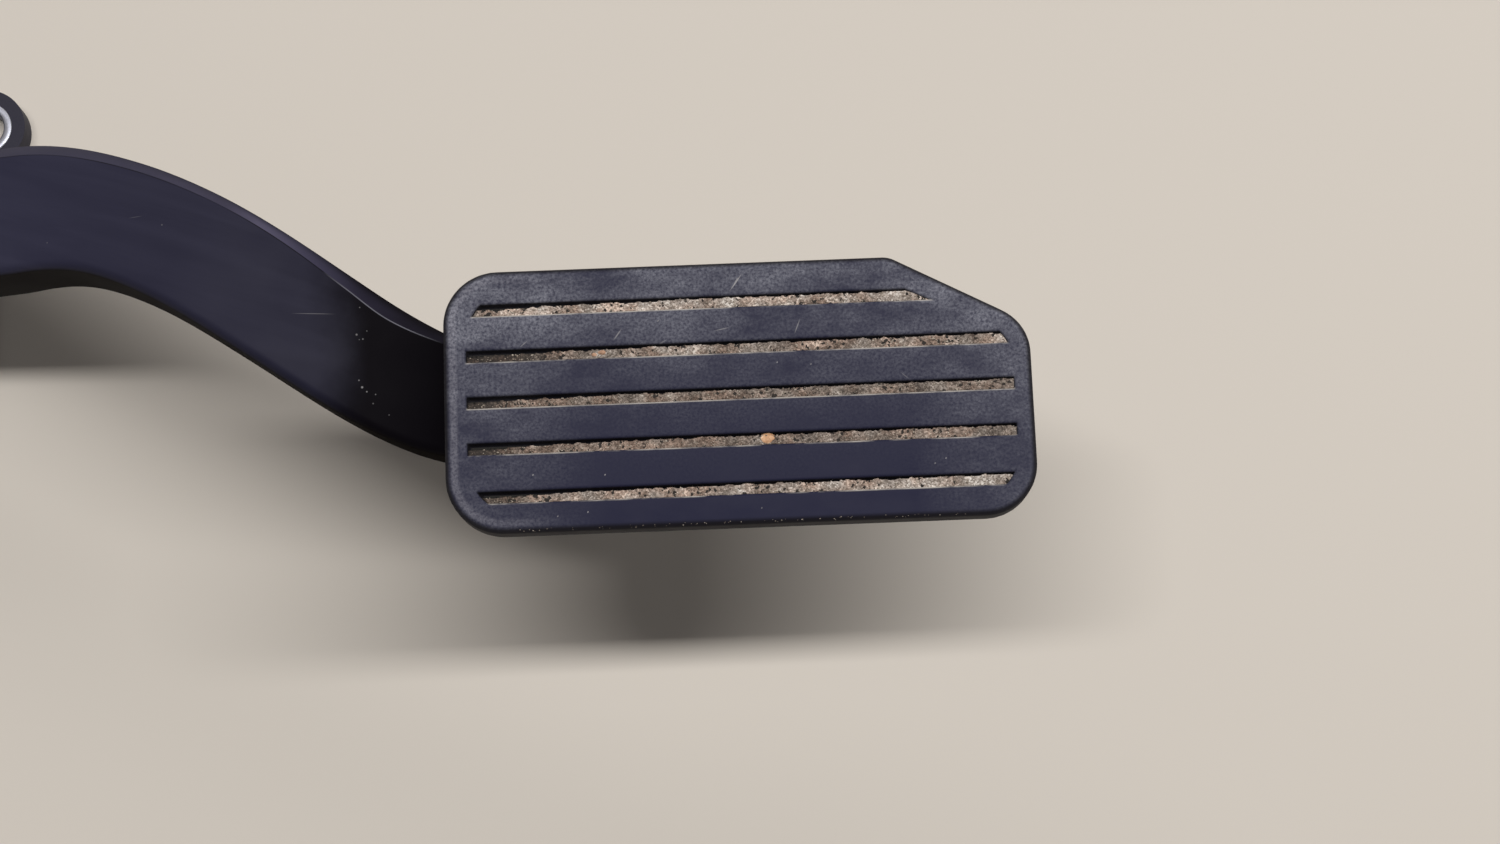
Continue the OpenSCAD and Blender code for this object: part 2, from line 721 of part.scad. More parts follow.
module pad_push_nuts() {
    nut_t = 0.8;
    color("silver") for (p = stud_points)
        translate([pad_c.x + p.x, pad_c.y + p.y, plate_z0 - nut_t - eps]) difference() {
            cylinder(r = stud_r + 2.8, h = nut_t);
            translate([0, 0, -1]) cylinder(r = stud_r + seat_gap, h = 3);
        }
}

module pivot_shaft() {
    end_r = shaft_r - 1;
    color("lightgray") difference() {
        union() {
            bar_y([pivot.x, pivot.z], shaft_r, chamber_y0 - bush_l + 0.5, bush_boss_y1);
            bar_y([pivot.x, pivot.z], end_r, bush_boss_y1 - eps, carrier_y0 + carrier_t - 2);
        }
        translate([pivot.x, pivot.y, pivot.z - 2])
            cylinder(r = lock_pin_r + seat_gap, h = shaft_r + 4);
    }
}

module hub_lock_pin() {
    color("silver") translate([pivot.x, pivot.y, pivot.z - 1.5])
        cylinder(r = lock_pin_r, h = hub_r + 1);
}

magnet_points = [for (s = [-1, 1]) [pivot.x + s * carrier_r * 0.62, pivot.z]];
magnet_t = 2;

module magnet_carrier() {
    color("#e8e4d8") difference() {
        bar_y([pivot.x, pivot.z], carrier_r, carrier_y0, carrier_y1);
        bar_y([pivot.x, pivot.z], shaft_r - 1 + seat_gap, carrier_y0 - 1, carrier_y1 - 2 + eps);
        for (p = magnet_points)
            bar_y(p, magnet_r + seat_gap, carrier_y1 - magnet_t, carrier_y1 + 1);
    }
}

module magnets() {
    color("#8a8d92") for (p = magnet_points) bar_y(p, magnet_r, carrier_y1 - magnet_t, carrier_y1);
}

// ---- return mechanism ----

pilot_r = inner_spring_r - inner_wire_r - 0.5;
pilot_l = 4;
skirt_t = 2;
lining_t = 2.5;

module thrust_block() {
    color("#d8d4c6") difference() {
        union() {
            block([block_x0, pivot.y - block_half, nose_z - block_drop],
                  [block_x1, pivot.y + block_half, block_top]);
            for (y = [pivot.y - block_half, pivot.y + block_half - skirt_t])
                block([block_x0 - skirt_l, y, nose_z - skirt_h],
                      [block_x0 + 1, y + skirt_t, nose_z + skirt_h]);
            translate([block_x0, pivot.y, nose_z]) rotate([0, -90, 0])
                cylinder(r = pilot_r, h = pilot_l);
        }
        for (y = [pivot.y - block_half - 1, pivot.y + block_half + 1 - lining_t])
            block([block_x0 - skirt_l + lining_end, y, nose_z - lining_h],
                  [block_x0 - lining_end, y + lining_t, nose_z + lining_h]);
    }
}

module friction_pads() {
    color("#6a5040") for (y = [pivot.y - lining_half, pivot.y + lining_half - lining_t])
        block([block_x0 - skirt_l + lining_end + 0.1, y, nose_z - lining_h + 0.1],
              [block_x0 - lining_end - 0.1, y + lining_t, nose_z + lining_h - 0.1]);
}

module spring_seat() {
    color("#d8d4c6") {
        block([seat_x0 + eps, pivot.y - seat_half, nose_z - block_drop],
              [seat_x1, pivot.y + seat_half, nose_z + block_drop - 1]);
        translate([seat_x1 - eps, pivot.y, nose_z]) rotate([0, 90, 0])
            cylinder(r = pilot_r, h = pilot_l);
    }
}

// Distance along a spring after n of its turns: the first and last turn lie close, and the
// turns between share the rest.
function spring_run(n, turns, l, close) =
    n < 1 ? close * n :
    n > turns - 1 ? l - close * (turns - n) :
    close + (l - 2 * close) * (n - 1) / (turns - 2);

function spring_path(turns, r, wire, hand) =
    let (l = block_x0 - seat_x1 - 2 * wire - 2 * spring_gap, steps = 8 * turns)
    [for (i = [0:steps])
        let (a = 360 * hand * i / 8)
        [spring_run(i / 8, turns, l, 2 * wire + 0.6), r * cos(a), r * sin(a)]];

function spring_least_gap(path, wire) =
    min([for (i = [0:len(path) - 6], j = [i + 5:min(i + 12, len(path) - 1)])
        norm(path[j] - path[i])]) - 2 * wire;

module spring(turns, r, wire, hand) {
    path = spring_path(turns, r, wire, hand);
    echo(least_gap_of_spring = spring_least_gap(path, wire));
    rings = [for (i = [0:len(path) - 1])
        let (p = path[i], out = unit([0, p.y, p.z]))
        [for (k = [0:5]) p + wire * (cos(60 * hand * k) * out + sin(60 * hand * k) * [1, 0, 0])]];
    translate([seat_x1 + wire + spring_gap, pivot.y, nose_z]) skin(rings);
}

module return_spring_outer() {
    color("#7d8086") spring(outer_turns, outer_spring_r, outer_wire_r, 1);
}

module return_spring_inner() {
    color("#7d8086") spring(inner_turns, inner_spring_r, inner_wire_r, -1);
}

// ---- sensor ----

module cap_outline(inset) {
    polygon(rounded([[cap_x0 + inset, cap_z0 + inset, 4],
                     [cap_x0 + cap_l - inset, cap_z0 + inset, 4],
                     [cap_x0 + cap_l - inset, cap_z0 + cap_h - inset, 4],
                     [cap_x0 + inset, cap_z0 + cap_h - inset, 4]]));
}

module sensor_gasket() {
    color("#30343c") along_y(case_y1 + eps, cap_y0 - eps) difference() {
        cap_outline(0.2);
        cap_outline(cap_wall + 0.4);
        for (p = cap_screw_points) translate(p) circle(r = cap_ear_r + seat_gap);
    }
}

module sensor_cap() {
    mouth_x = cap_x0 - socket_l;
    color("#24262c") difference() {
        union() {
            along_y(cap_y0, cap_y1) cap_outline(0);
            for (p = cap_screw_points) bar_y(p, cap_ear_r, cap_y0, cap_y0 + cap_ear_h);
            block([mouth_x, socket_y - socket_w / 2 - cap_wall, socket_z - socket_h / 2 - cap_wall],
                  [cap_x0 + 1, socket_y + socket_w / 2 + cap_wall, socket_z + socket_h / 2 + cap_wall]);
            block([mouth_x + 3, socket_y + socket_w / 2, socket_z - 3],
                  [mouth_x + 9, socket_y + socket_w / 2 + cap_wall + 1.5, socket_z + 3]);
        }
        along_y(cap_y0 - 1, cap_y1 - cap_wall) difference() {
            cap_outline(cap_wall);
            for (p = cap_screw_points) translate(p) circle(r = cap_ear_r + 1);
        }
        block([mouth_x - 1, socket_y - socket_w / 2, socket_z - socket_h / 2],
              [cap_x0 - 3, socket_y + socket_w / 2, socket_z + socket_h / 2]);
        for (p = cap_screw_points) bar_y(p, screw_r + 0.2, cap_y0 - 1, cap_y0 + cap_ear_h + 1);
        for (r = terminal_rows, c = terminal_columns)
            terminal_hole(r, c);
    }
}

function terminal_at(r, c) = [socket_y + r * row_pitch, socket_z + c * column_pitch];
function terminal_foot(r) = cap_x0 + 5.5 - r * 3;

module terminal_hole(r, c) {
    p = terminal_at(r, c);
    half = terminal_w / 2 + seat_gap;
    block([cap_x0 - 4, p[0] - half, p[1] - half], [cap_x0 + 3, p[0] + half, p[1] + half]);
}

module connector_terminals() {
    half = terminal_w / 2;
    color("#c8a94a") for (r = terminal_rows, c = terminal_columns) {
        p = terminal_at(r, c);
        foot_x = terminal_foot(r);
        block([cap_x0 - 3 - terminal_l, p[0] - half, p[1] - half], [foot_x, p[0] + half, p[1] + half]);
        block([foot_x - terminal_w, p[0] - half, p[1] - half], [foot_x, board_y1 + 0.8, p[1] + half]);
    }
}

module circuit_board() {
    inset = cap_wall + 0.6;
    color("#1f6b3f") difference() {
        along_y(board_y0, board_y1) difference() {
            cap_outline(inset);
            for (p = cap_screw_points) translate(p) circle(r = cap_ear_r + 2);
        }
        for (r = terminal_rows, c = terminal_columns) {
            p = terminal_at(r, c);
            foot_x = terminal_foot(r);
            half = terminal_w / 2 + seat_gap;
            block([foot_x - terminal_w - seat_gap, board_y0 - 1, p[1] - half],
                  [foot_x + seat_gap, board_y1 + 1, p[1] + half]);
        }
    }
}

module hall_sensors() {
    color("#101114") for (s = [-0.5, 0.5])
        block([pivot.x - chip_l / 2, board_y0 - chip_t, pivot.z + s * chip_pitch - chip_w / 2],
              [pivot.x + chip_l / 2, board_y0, pivot.z + s * chip_pitch + chip_w / 2]);
}

module board_capacitors() {
    color("#b89a6a") for (i = [2, 3], k = [1:3]) {
        x = pivot.x + i * capacitor_pitch;
        z = pivot.z - k * capacitor_pitch;
        block([x, board_y1, z], [x + capacitor_l, board_y1 + capacitor_t, z + capacitor_t]);
    }
}

housing();
side_cover();
cover_screws();
mounting_sleeves();
bush_cover_side();
bush_sensor_side();
rest_bumper();
stop_bumper();
spring_seat();
sensor_cap();
sensor_gasket();
sensor_cap_screws();
circuit_board();
hall_sensors();
board_capacitors();
connector_terminals();
pedal_arm();
pedal_pad();
pad_push_nuts();
pivot_shaft();
hub_lock_pin();
magnet_carrier();
magnets();
thrust_block();
friction_pads();
return_spring_outer();
return_spring_inner();
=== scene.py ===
import json
import math

import bmesh
import bpy
import numpy as np
from mathutils import Matrix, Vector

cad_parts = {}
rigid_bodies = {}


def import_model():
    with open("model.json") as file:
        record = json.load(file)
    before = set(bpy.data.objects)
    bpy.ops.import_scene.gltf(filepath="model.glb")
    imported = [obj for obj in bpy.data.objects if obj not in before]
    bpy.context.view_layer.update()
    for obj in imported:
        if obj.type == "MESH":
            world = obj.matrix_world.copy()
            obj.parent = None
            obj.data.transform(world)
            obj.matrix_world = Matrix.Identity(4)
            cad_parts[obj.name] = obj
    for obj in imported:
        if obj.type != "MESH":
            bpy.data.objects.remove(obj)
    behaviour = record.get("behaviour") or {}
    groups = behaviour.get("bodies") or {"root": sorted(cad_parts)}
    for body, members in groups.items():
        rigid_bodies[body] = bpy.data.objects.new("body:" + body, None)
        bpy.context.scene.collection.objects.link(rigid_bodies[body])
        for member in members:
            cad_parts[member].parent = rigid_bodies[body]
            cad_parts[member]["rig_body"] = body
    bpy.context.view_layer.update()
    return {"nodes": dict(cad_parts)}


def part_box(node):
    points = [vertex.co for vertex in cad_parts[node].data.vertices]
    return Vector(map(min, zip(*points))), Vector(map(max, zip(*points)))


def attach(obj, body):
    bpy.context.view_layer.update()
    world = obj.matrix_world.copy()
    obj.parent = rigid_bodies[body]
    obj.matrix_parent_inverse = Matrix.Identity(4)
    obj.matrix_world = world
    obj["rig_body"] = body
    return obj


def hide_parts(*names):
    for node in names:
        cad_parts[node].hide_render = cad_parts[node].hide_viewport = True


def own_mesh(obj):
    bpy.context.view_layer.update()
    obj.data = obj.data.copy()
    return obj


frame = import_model()


# ---- Housing, side cover and sensor cap ----
# The case is moulded in black nylon with glass fibre: base, walls, three mounting ears and
# the bosses in one piece. The side cover is screwed on from the left and the sensor cap from
# the right. Moulds leave every edge a little round and the faces with a fine spark texture.

def linear(shade):
    """A six-digit sRGB hex colour as linear red, green and blue, with an alpha of one."""
    parts = [int(shade[i:i + 2], 16) / 255 for i in (0, 2, 4)]
    return tuple(c / 12.92 if c < 0.04045 else ((c + 0.055) / 1.055) ** 2.4 for c in parts) + (1,)


def feed(node, inputs):
    """Sets a node's inputs, which a dict names and a list gives in the node's own order, each
    to a number, a hex colour or another node's output."""
    rows = inputs.items() if isinstance(inputs, dict) else enumerate(inputs)
    for name, value in rows:
        if isinstance(value, bpy.types.NodeSocket):
            node.id_data.links.new(value, node.inputs[name])
        else:
            node.inputs[name].default_value = linear(value) if isinstance(value, str) else value


def adder(tree):
    """The function that adds nodes to that tree."""
    def add(kind, inputs=(), stops=(), out=None, **settings):
        """Adds one node, sets its settings and colour stops and feeds its inputs. Gives the
        output that out names, or else the first one in use."""
        node = tree.nodes.new("ShaderNode" + kind)
        for name, value in settings.items():
            setattr(node, name, value)
        for i, (at, shade) in enumerate(stops):
            ramp = node.color_ramp.elements
            stop = ramp[i] if i < 2 else ramp.new(at)
            stop.position, stop.color = at, linear(shade)
        feed(node, inputs)
        return node.outputs[out] if out else next(o for o in node.outputs if o.enabled)
    return add


def coated(add, body, coats, **settings):
    """Lays coats, each a share and a colour, over a body colour, one after the other. A Mix
    node takes the share as its input 0, and the two colours as 6 and 7."""
    for share, colour in coats:
        body = add("Mix", {0: share, 6: body, 7: colour}, data_type="RGBA", **settings)
    return body


def new_surface(name):
    """An empty node material, the function that adds its nodes, its shader, and the
    coordinates that its patterns read."""
    surface = bpy.data.materials.new(name)
    surface.use_nodes = True
    add = adder(surface.node_tree)
    shader = surface.node_tree.nodes["Principled BSDF"]
    return surface, add, shader, add("TexCoord", out="Object")


def moulded(name, body, film, grain_mm, relief_mm, rough, film_share=0.22, coat=0.0,
            gloss=0.4):
    """Moulded plastic: body colour, with a film of dust in soft clouds 9 mm wide that lies
    thicker on faces that look up, and a spark texture with grains of grain_mm."""
    surface, add, shader, place = new_surface(name)
    clouds = add("TexNoise", {"Vector": place, "Scale": 110, "Detail": 6, "Roughness": 0.6})
    grain = add("TexNoise", {"Vector": place, "Scale": 1000 / grain_mm, "Detail": 3})
    up = add("SeparateXYZ", [add("NewGeometry", out="Normal")], out="Z")
    lying = add("MapRange", [up, 0.2, 1, 0.25, 1])
    patchy = add("MapRange", [clouds, 0.3, 0.8, film_share * 0.25, film_share])
    film_here = add("Math", [lying, patchy], operation="MULTIPLY")
    mottled = add("MapRange", [grain, 0.3, 0.7, 0.6, 1.3])
    film_here = add("Math", [film_here, mottled], operation="MULTIPLY", use_clamp=True)
    colour = coated(add, body, [(film_here, film)])
    roughness = add("MapRange", [clouds, 0.3, 0.7, rough - 0.05, rough + 0.07])
    bump = add("Bump", {"Height": grain, "Strength": 0.6, "Distance": relief_mm / 1000})
    feed(shader, {"Base Color": colour, "Roughness": roughness, "Normal": bump, "IOR": 1.53,
                  "Specular IOR Level": gloss, "Coat Weight": coat})
    return surface


def put(name, data, *columns):
    """Adds one object to the scene. Columns, if any, are its three axes and its place."""
    made = bpy.data.objects.new(name, data)
    bpy.context.scene.collection.objects.link(made)
    if columns:
        made.matrix_world = Matrix(np.vstack([np.array(columns).T, (0, 0, 0, 1)]).tolist())
    return made


def dress(thing, surface):
    """Gives an object one material for all of its faces."""
    thing.data.materials.clear()
    thing.data.materials.append(surface)


def rounded_copy(node, surface, edge_mm):
    """Stands for a CAD solid: a copy with its corners merged and its flat faces joined, whose
    edges sharper than 30 degrees are rounded to edge_mm."""
    source = frame["nodes"][node]
    shape = bmesh.new()
    shape.from_mesh(source.data)
    bmesh.ops.remove_doubles(shape, verts=shape.verts, dist=2e-6)
    bmesh.ops.dissolve_limit(shape, angle_limit=math.radians(0.6), verts=shape.verts,
                             edges=shape.edges)
    mesh = bpy.data.meshes.new(node + "_moulding")
    shape.to_mesh(mesh)
    shape.free()
    mesh.shade_smooth()
    made = put(mesh.name, mesh)
    edges = made.modifiers.new("edges", "BEVEL")
    edges.width = edge_mm / 1000
    edges.segments = 2
    edges.limit_method = "ANGLE"
    edges.angle_limit = math.radians(30)
    # Each corner leans with its largest face, so that flat faces are shaded flat.
    flats = made.modifiers.new("flats", "WEIGHTED_NORMAL")
    flats.mode = "FACE_AREA"
    flats.weight = 80
    dress(made, surface)
    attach(made, source["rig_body"])
    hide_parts(node)
    return made


# Polyamide 6.6 with glass fibre, near black, fine spark texture: satin, a little dusty.
case_nylon = moulded("black_glass_filled_nylon", "1c1c2c", "8f8d98", 0.35, 0.03, 0.5,
                     film_share=0.05, gloss=0.15)
cover_nylon = moulded("cover_glass_filled_nylon", "1e1e2b", "8f8d96", 0.35, 0.03, 0.48,
                      film_share=0.09, gloss=0.2)
rounded_copy("housing", case_nylon, 0.4)
rounded_copy("side_cover", cover_nylon, 0.35)


# ---- Mounting sleeves ----
# Each ear has a steel sleeve pressed in, so that the bolt clamps steel and not nylon. It is
# turned and zinc plated: a bright ring with a chamfer at both edges of its bore.

def grid_faces(rows, columns, closed=True, capped=False):
    """Quads of a grid whose points are numbered row by row. Where it is closed, its last
    column joins the first. Where it is capped, its end rows are faces too."""
    i = np.arange(rows - 1)[:, None]
    j = np.arange(columns if closed else columns - 1)[None]
    a = i * columns + j
    b = i * columns + (j + 1) % columns
    quads = np.stack([a, b, b + columns, a + columns], -1).reshape(-1, 4).tolist()
    ends = [list(range(columns)), list(range((rows - 1) * columns, rows * columns))]
    return quads + ends if capped else quads


def piece(name, points, faces, surface, body, slot=None, stands_for=(), crease=35, **values):
    """One object from points in millimetres and faces as lists of point numbers. Points in
    the same place become one, its normals point outwards, and its edges sharper than crease
    degrees stay sharp. Values are numbers for each point, which its material reads by name."""
    mesh = bpy.data.meshes.new(name)
    mesh.from_pydata((points / 1000).tolist(), [], faces)
    for field, numbers in values.items():
        mesh.attributes.new(field, "FLOAT", "POINT").data.foreach_set("value", numbers)
    shape = bmesh.new()
    shape.from_mesh(mesh)
    bmesh.ops.remove_doubles(shape, verts=shape.verts, dist=1e-6)
    bmesh.ops.recalc_face_normals(shape, faces=shape.faces)
    shape.to_mesh(mesh)
    shape.free()
    mesh.shade_smooth()
    mesh.set_sharp_from_angle(angle=math.radians(crease))
    made = put(name, mesh)
    dress(made, surface)
    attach(made, body)
    if stands_for:
        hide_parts(*stands_for)
    return made


def joined(parts):
    """Several (points, faces) pairs as one pair."""
    points, faces, first = [], [], 0
    for some_points, some_faces in parts:
        points.append(some_points.reshape(-1, 3))
        faces += [[first + k for k in face] for face in some_faces]
        first += len(points[-1])
    return np.concatenate(points), faces


def turned(profile, centres, axis="z", count=64, flute=0.0, flutes=0):
    """Points and faces of turned rings: a closed profile of (radius, height) rows carried
    round the axis through each centre. A radius may swell and shrink by flute in that many
    flutes."""
    profile = np.array(profile, float)
    turn = np.linspace(0, 2 * np.pi, count, endpoint=False)[:, None]
    radius = profile[:, 0] * (1 + flute * np.cos(flutes * turn) / profile[:, 0].max())
    height = np.broadcast_to(profile[:, 1], radius.shape)
    across, along = radius * np.cos(turn), radius * np.sin(turn)
    order = {"z": (across, along, height), "y": (along, height, across)}[axis]
    points = np.stack(order, -1)
    faces = np.array(grid_faces(count + 1, len(profile))) % (count * len(profile))
    return joined([(points + centre, faces.tolist()) for centre in centres])


def plated(name, shade, rough, streak_mm, relief_mm, spots=0.0, spot_shade="6b5a48"):
    """Metal with a drawn or turned finish: its roughness and height change in streaks of
    streak_mm, and spots is the share of its surface that has gone dull."""
    surface, add, shader, place = new_surface(name)
    fine = add("TexNoise", {"Vector": place, "Scale": 1000 / streak_mm, "Detail": 4})
    dull = add("TexNoise", {"Vector": place, "Scale": 420, "Detail": 5, "Roughness": 0.7})
    gone = add("MapRange", [dull, 0.62 - spots * 0.3, 0.72, 0, 0.8])
    colour = coated(add, shade, [(gone, spot_shade)])
    sheen = add("MapRange", [fine, 0.3, 0.7, rough - 0.08, rough + 0.1])
    roughness = add("Math", [gone, 0.3, sheen], operation="MULTIPLY_ADD", use_clamp=True)
    bump = add("Bump", {"Height": fine, "Strength": 0.4, "Distance": relief_mm / 1000})
    feed(shader, {"Base Color": colour, "Roughness": roughness, "Normal": bump, "Metallic": 1})
    return surface


# Bright zinc on turned steel: cool silver, half dull, with whitish oxide in patches.
sleeve_zinc = plated("zinc_plated_steel", "8d909c", 0.36, 0.25, 0.01, 0.35, "777a84")
sleeve_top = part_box("mounting_sleeves")[1].z * 1000
ear_places = [(62.2, 36.1, 0), (-55.8, 36.1, 0), (2.0, -34.0, 0)]
sleeve_r, sleeve_bore = 6.15, 4.25
chamfer = 0.45
sleeve_profile = [(sleeve_bore, chamfer), (sleeve_bore, sleeve_top - chamfer),
                  (sleeve_bore + chamfer * 0.5, sleeve_top - chamfer * 0.35),
                  (sleeve_bore + chamfer, sleeve_top), (sleeve_r - 0.3, sleeve_top),
                  (sleeve_r - 0.1, sleeve_top - 0.08), (sleeve_r, sleeve_top - 0.3),
                  (sleeve_r, 0.25), (sleeve_r - 0.25, 0), (sleeve_bore + chamfer, 0)]
piece("mounting_sleeves_turned", *turned(sleeve_profile, ear_places), sleeve_zinc, "housing",
      "sleeve_steel", ["mounting_sleeves"], crease=50)


# ---- Bushes, shaft and lock pin ----
# Two flanged bushes of acetal sit in the bosses of case and cover. The shaft is ground steel
# and turns with the arm, held in its hub by a hardened pin.

# Acetal: cream white, waxy and smooth.
acetal = moulded("cream_acetal", "cfc4a4", "a3957c", 0.5, 0.01, 0.34, 0.3)
for node in ("bush_cover_side", "bush_sensor_side"):
    rounded_copy(node, acetal, 0.15)
# Ground steel: clean, fine rings from grinding.
ground_steel = plated("ground_steel", "a8a9aa", 0.2, 0.12, 0.004)
rounded_copy("pivot_shaft", ground_steel, 0.3)
rounded_copy("hub_lock_pin", ground_steel, 0.2)


# ---- Pedal arm ----
# One moulding of black nylon with glass fibre: a beam that is open on its back, with cross
# ribs between its cells, a hub on the shaft, a tail with a round nose, and a flat plate that
# carries the pad. The beam's upper edge is bevelled, and its lower edge is well rounded.

def curve(points, x):
    """Smooth curve through points (x, y), read at an array x: between two points a cubic
    whose slopes come from the neighbours on both sides, flat beyond the ends."""
    p = np.array(points, float)
    step = np.diff(p[:, 0])
    slope = np.empty(len(p))
    slope[0], slope[-1] = (p[1, 1] - p[0, 1]) / step[0], (p[-1, 1] - p[-2, 1]) / step[-1]
    slope[1:-1] = (p[2:, 1] - p[:-2, 1]) / (p[2:, 0] - p[:-2, 0])
    i = np.clip(np.searchsorted(p[:, 0], x) - 1, 0, len(step) - 1)
    t = np.clip((x - p[i, 0]) / step[i], 0, 1)
    return ((1 + 2 * t) * (1 - t) ** 2 * p[i, 1] + t * (1 - t) ** 2 * step[i] * slope[i]
            + t * t * (3 - 2 * t) * p[i + 1, 1] - t * t * (1 - t) * step[i] * slope[i + 1])


def arc(cx, cy, r, a0, a1, n):
    """n + 1 points of an arc about (cx, cy), from angle a0 to a1 in degrees. Arrays of
    centres give one row of points each."""
    a = np.radians(np.linspace(a0, a1, n + 1))
    return np.stack([np.add.outer(cx, r * np.cos(a)), np.add.outer(cy, r * np.sin(a))], -1)


pivot_z = 38.0
pad_x, pad_y, pad_z = 229.5, -49.5, 88.0
heel = pad_x - 56
plate_low, plate_high = 80.6, 84.0
arm_end, arm_w = 256.5, 27.0
arm_step, step_run = 50.5, 112.0
step_start = heel + 23.5 - step_run


def arm_line(x):
    """Sideways place of the arm's middle at x, half a cosine wave, and its heading."""
    turn = np.pi * np.clip((x - step_start) / step_run, 0, 1)
    return (-arm_step * (1 - np.cos(turn)) / 2,
            np.arctan(-arm_step * np.pi / 2 / step_run * np.sin(turn)))


def arm_rings(x, hollow):
    """Rings of the beam at stations x, each square to its middle line. A ring runs from the
    lower back corner over the round edge, the face, the bevel and the other side to the back,
    then round the cell: where hollow is 0, the cell's points lie in the back face."""
    # The face's height, the beam's depth d, half its width w and the bevel's width b.
    low_edge, corner, wall = 2.0, 1.5, 2.4
    face = curve([(0, 41), (heel - 52.5, 72.4), (heel - 33, 73.8), (heel - 11, 71.4), (heel, 73),
                  (heel + 16, plate_low + 1), (heel + 24, plate_low + 1.5),
                  (arm_end, plate_low + 1.5)], x)
    d = curve([(0, 16), (heel - 95, 18), (heel - 68, 15), (heel - 33, 9.5), (heel - 5, 9.5),
               (heel + 18, 13.5), (arm_end, 6)], x)
    w = curve([(0, arm_w - 1.5), (36, arm_w), (heel - 90, arm_w + 0.3), (heel - 68, arm_w - 2),
               (heel - 33, arm_w - 2.4), (heel - 4, arm_w - 3.5), (heel + 22, arm_w - 9),
               (arm_end, 14)], x) / 2
    b = curve([(0, 1.8), (heel - 95, 2.8), (heel - 50, 2), (heel - 38, 2.1), (heel - 26, 2.85),
               (heel - 17, 3.5), (heel, 1.6), (arm_end, 1)], x)
    o = np.zeros_like(x)

    # A run is a straight line of n points, and depth shrinks a height in the cell by hollow.
    def run(u0, v0, u1, v1, n):
        t = np.linspace(0, 1, n)[None]
        return np.stack([u0[:, None] + (u1 - u0)[:, None] * t,
                         v0[:, None] + (v1 - v0)[:, None] * t], -1)

    def depth(v):
        return -d + (v + d) * hollow

    inner_top = depth(-wall + o)
    parts = [arc(-w + corner, -d + corner, corner, 270, 180, 4),
             run(-w, -d + corner + 1, -w, -low_edge - 0.3 + o, 3),
             arc(-w + low_edge, -low_edge + o, low_edge, 180, 90, 8),
             run(-w + low_edge + 0.8, o, w - b - 0.9, o, 9),
             arc(w - b - 0.35, -0.45 + o, 0.45, 88, 45, 4),
             run(w - b * 0.55, -b * 0.5, w - b * 0.3, -b * 0.78, 2),
             arc(w - 0.6, -b * 1.1 - 0.3, 0.6, 40, 0, 4),
             run(w, -b * 1.1 - 1.2, w, -d + corner + 1, 3),
             arc(w - corner, -d + corner, corner, 0, -90, 4),
             run(w - wall, -d, w - wall, depth(-wall - b), 3),
             run(w - b, inner_top, wall + 1.5 - w, inner_top, 6),
             run(wall - w, depth(-wall - 1.5 + o), wall - w, -d, 3)]
    ring = np.concatenate(parts, 1)
    side, heading = arm_line(x)
    u, v = ring[..., 0], ring[..., 1]
    points = np.stack([x[:, None] - u * np.sin(heading)[:, None],
                       side[:, None] + u * np.cos(heading)[:, None], face[:, None] + v], -1)
    crease_at = sum(part.shape[1] for part in parts[:4])
    return points, crease_at


cells, rib, first_cell = 7, 2.5, 67.0
cell_pitch = (pad_x + 10 - first_cell) / cells
# Spans of stations along the arm: from, to, how many, and 1 where the beam is hollow.
spans = [(4, first_cell, 30, 0)]
for k in range(cells):
    x0 = first_cell + cell_pitch * k
    x1 = x0 + cell_pitch - rib
    spans += [(x0, x1, 22, 1), (x1, x1 + rib, 4, 0)]
spans.append((first_cell + cell_pitch * cells, arm_end, 10, 0))
stations = np.concatenate([np.linspace(x0, x1, n) for x0, x1, n, hollow in spans])
hollows = np.concatenate([np.full(n, hollow) for x0, x1, n, hollow in spans])
rings, crease_at = arm_rings(stations, hollows)
count, size = rings.shape[:2]
beam_faces = grid_faces(count, size, capped=True)


def strokes(add, place, marks):
    """Strength of scratches and specks: for each (x, y, half length, heading in degrees, half
    width, strength), in millimetres, a long ellipse that fades from its middle outwards."""
    strongest = 0.0
    for x, y, half_length, heading, half_width, strength in marks:
        line = add("Mapping", {"Vector": place, "Location": (x / 1000, y / 1000, 0),
                               "Rotation": (0, 0, math.radians(heading)),
                               "Scale": (half_length / 1000, half_width / 1000, 1)},
                   vector_type="TEXTURE")
        fade = add("TexGradient", [line], out="Fac", gradient_type="SPHERICAL")
        mark = add("MapRange", [fade, 0, 0.6, 0, strength])
        strongest = add("Math", [strongest, mark], operation="MAXIMUM")
    return strongest


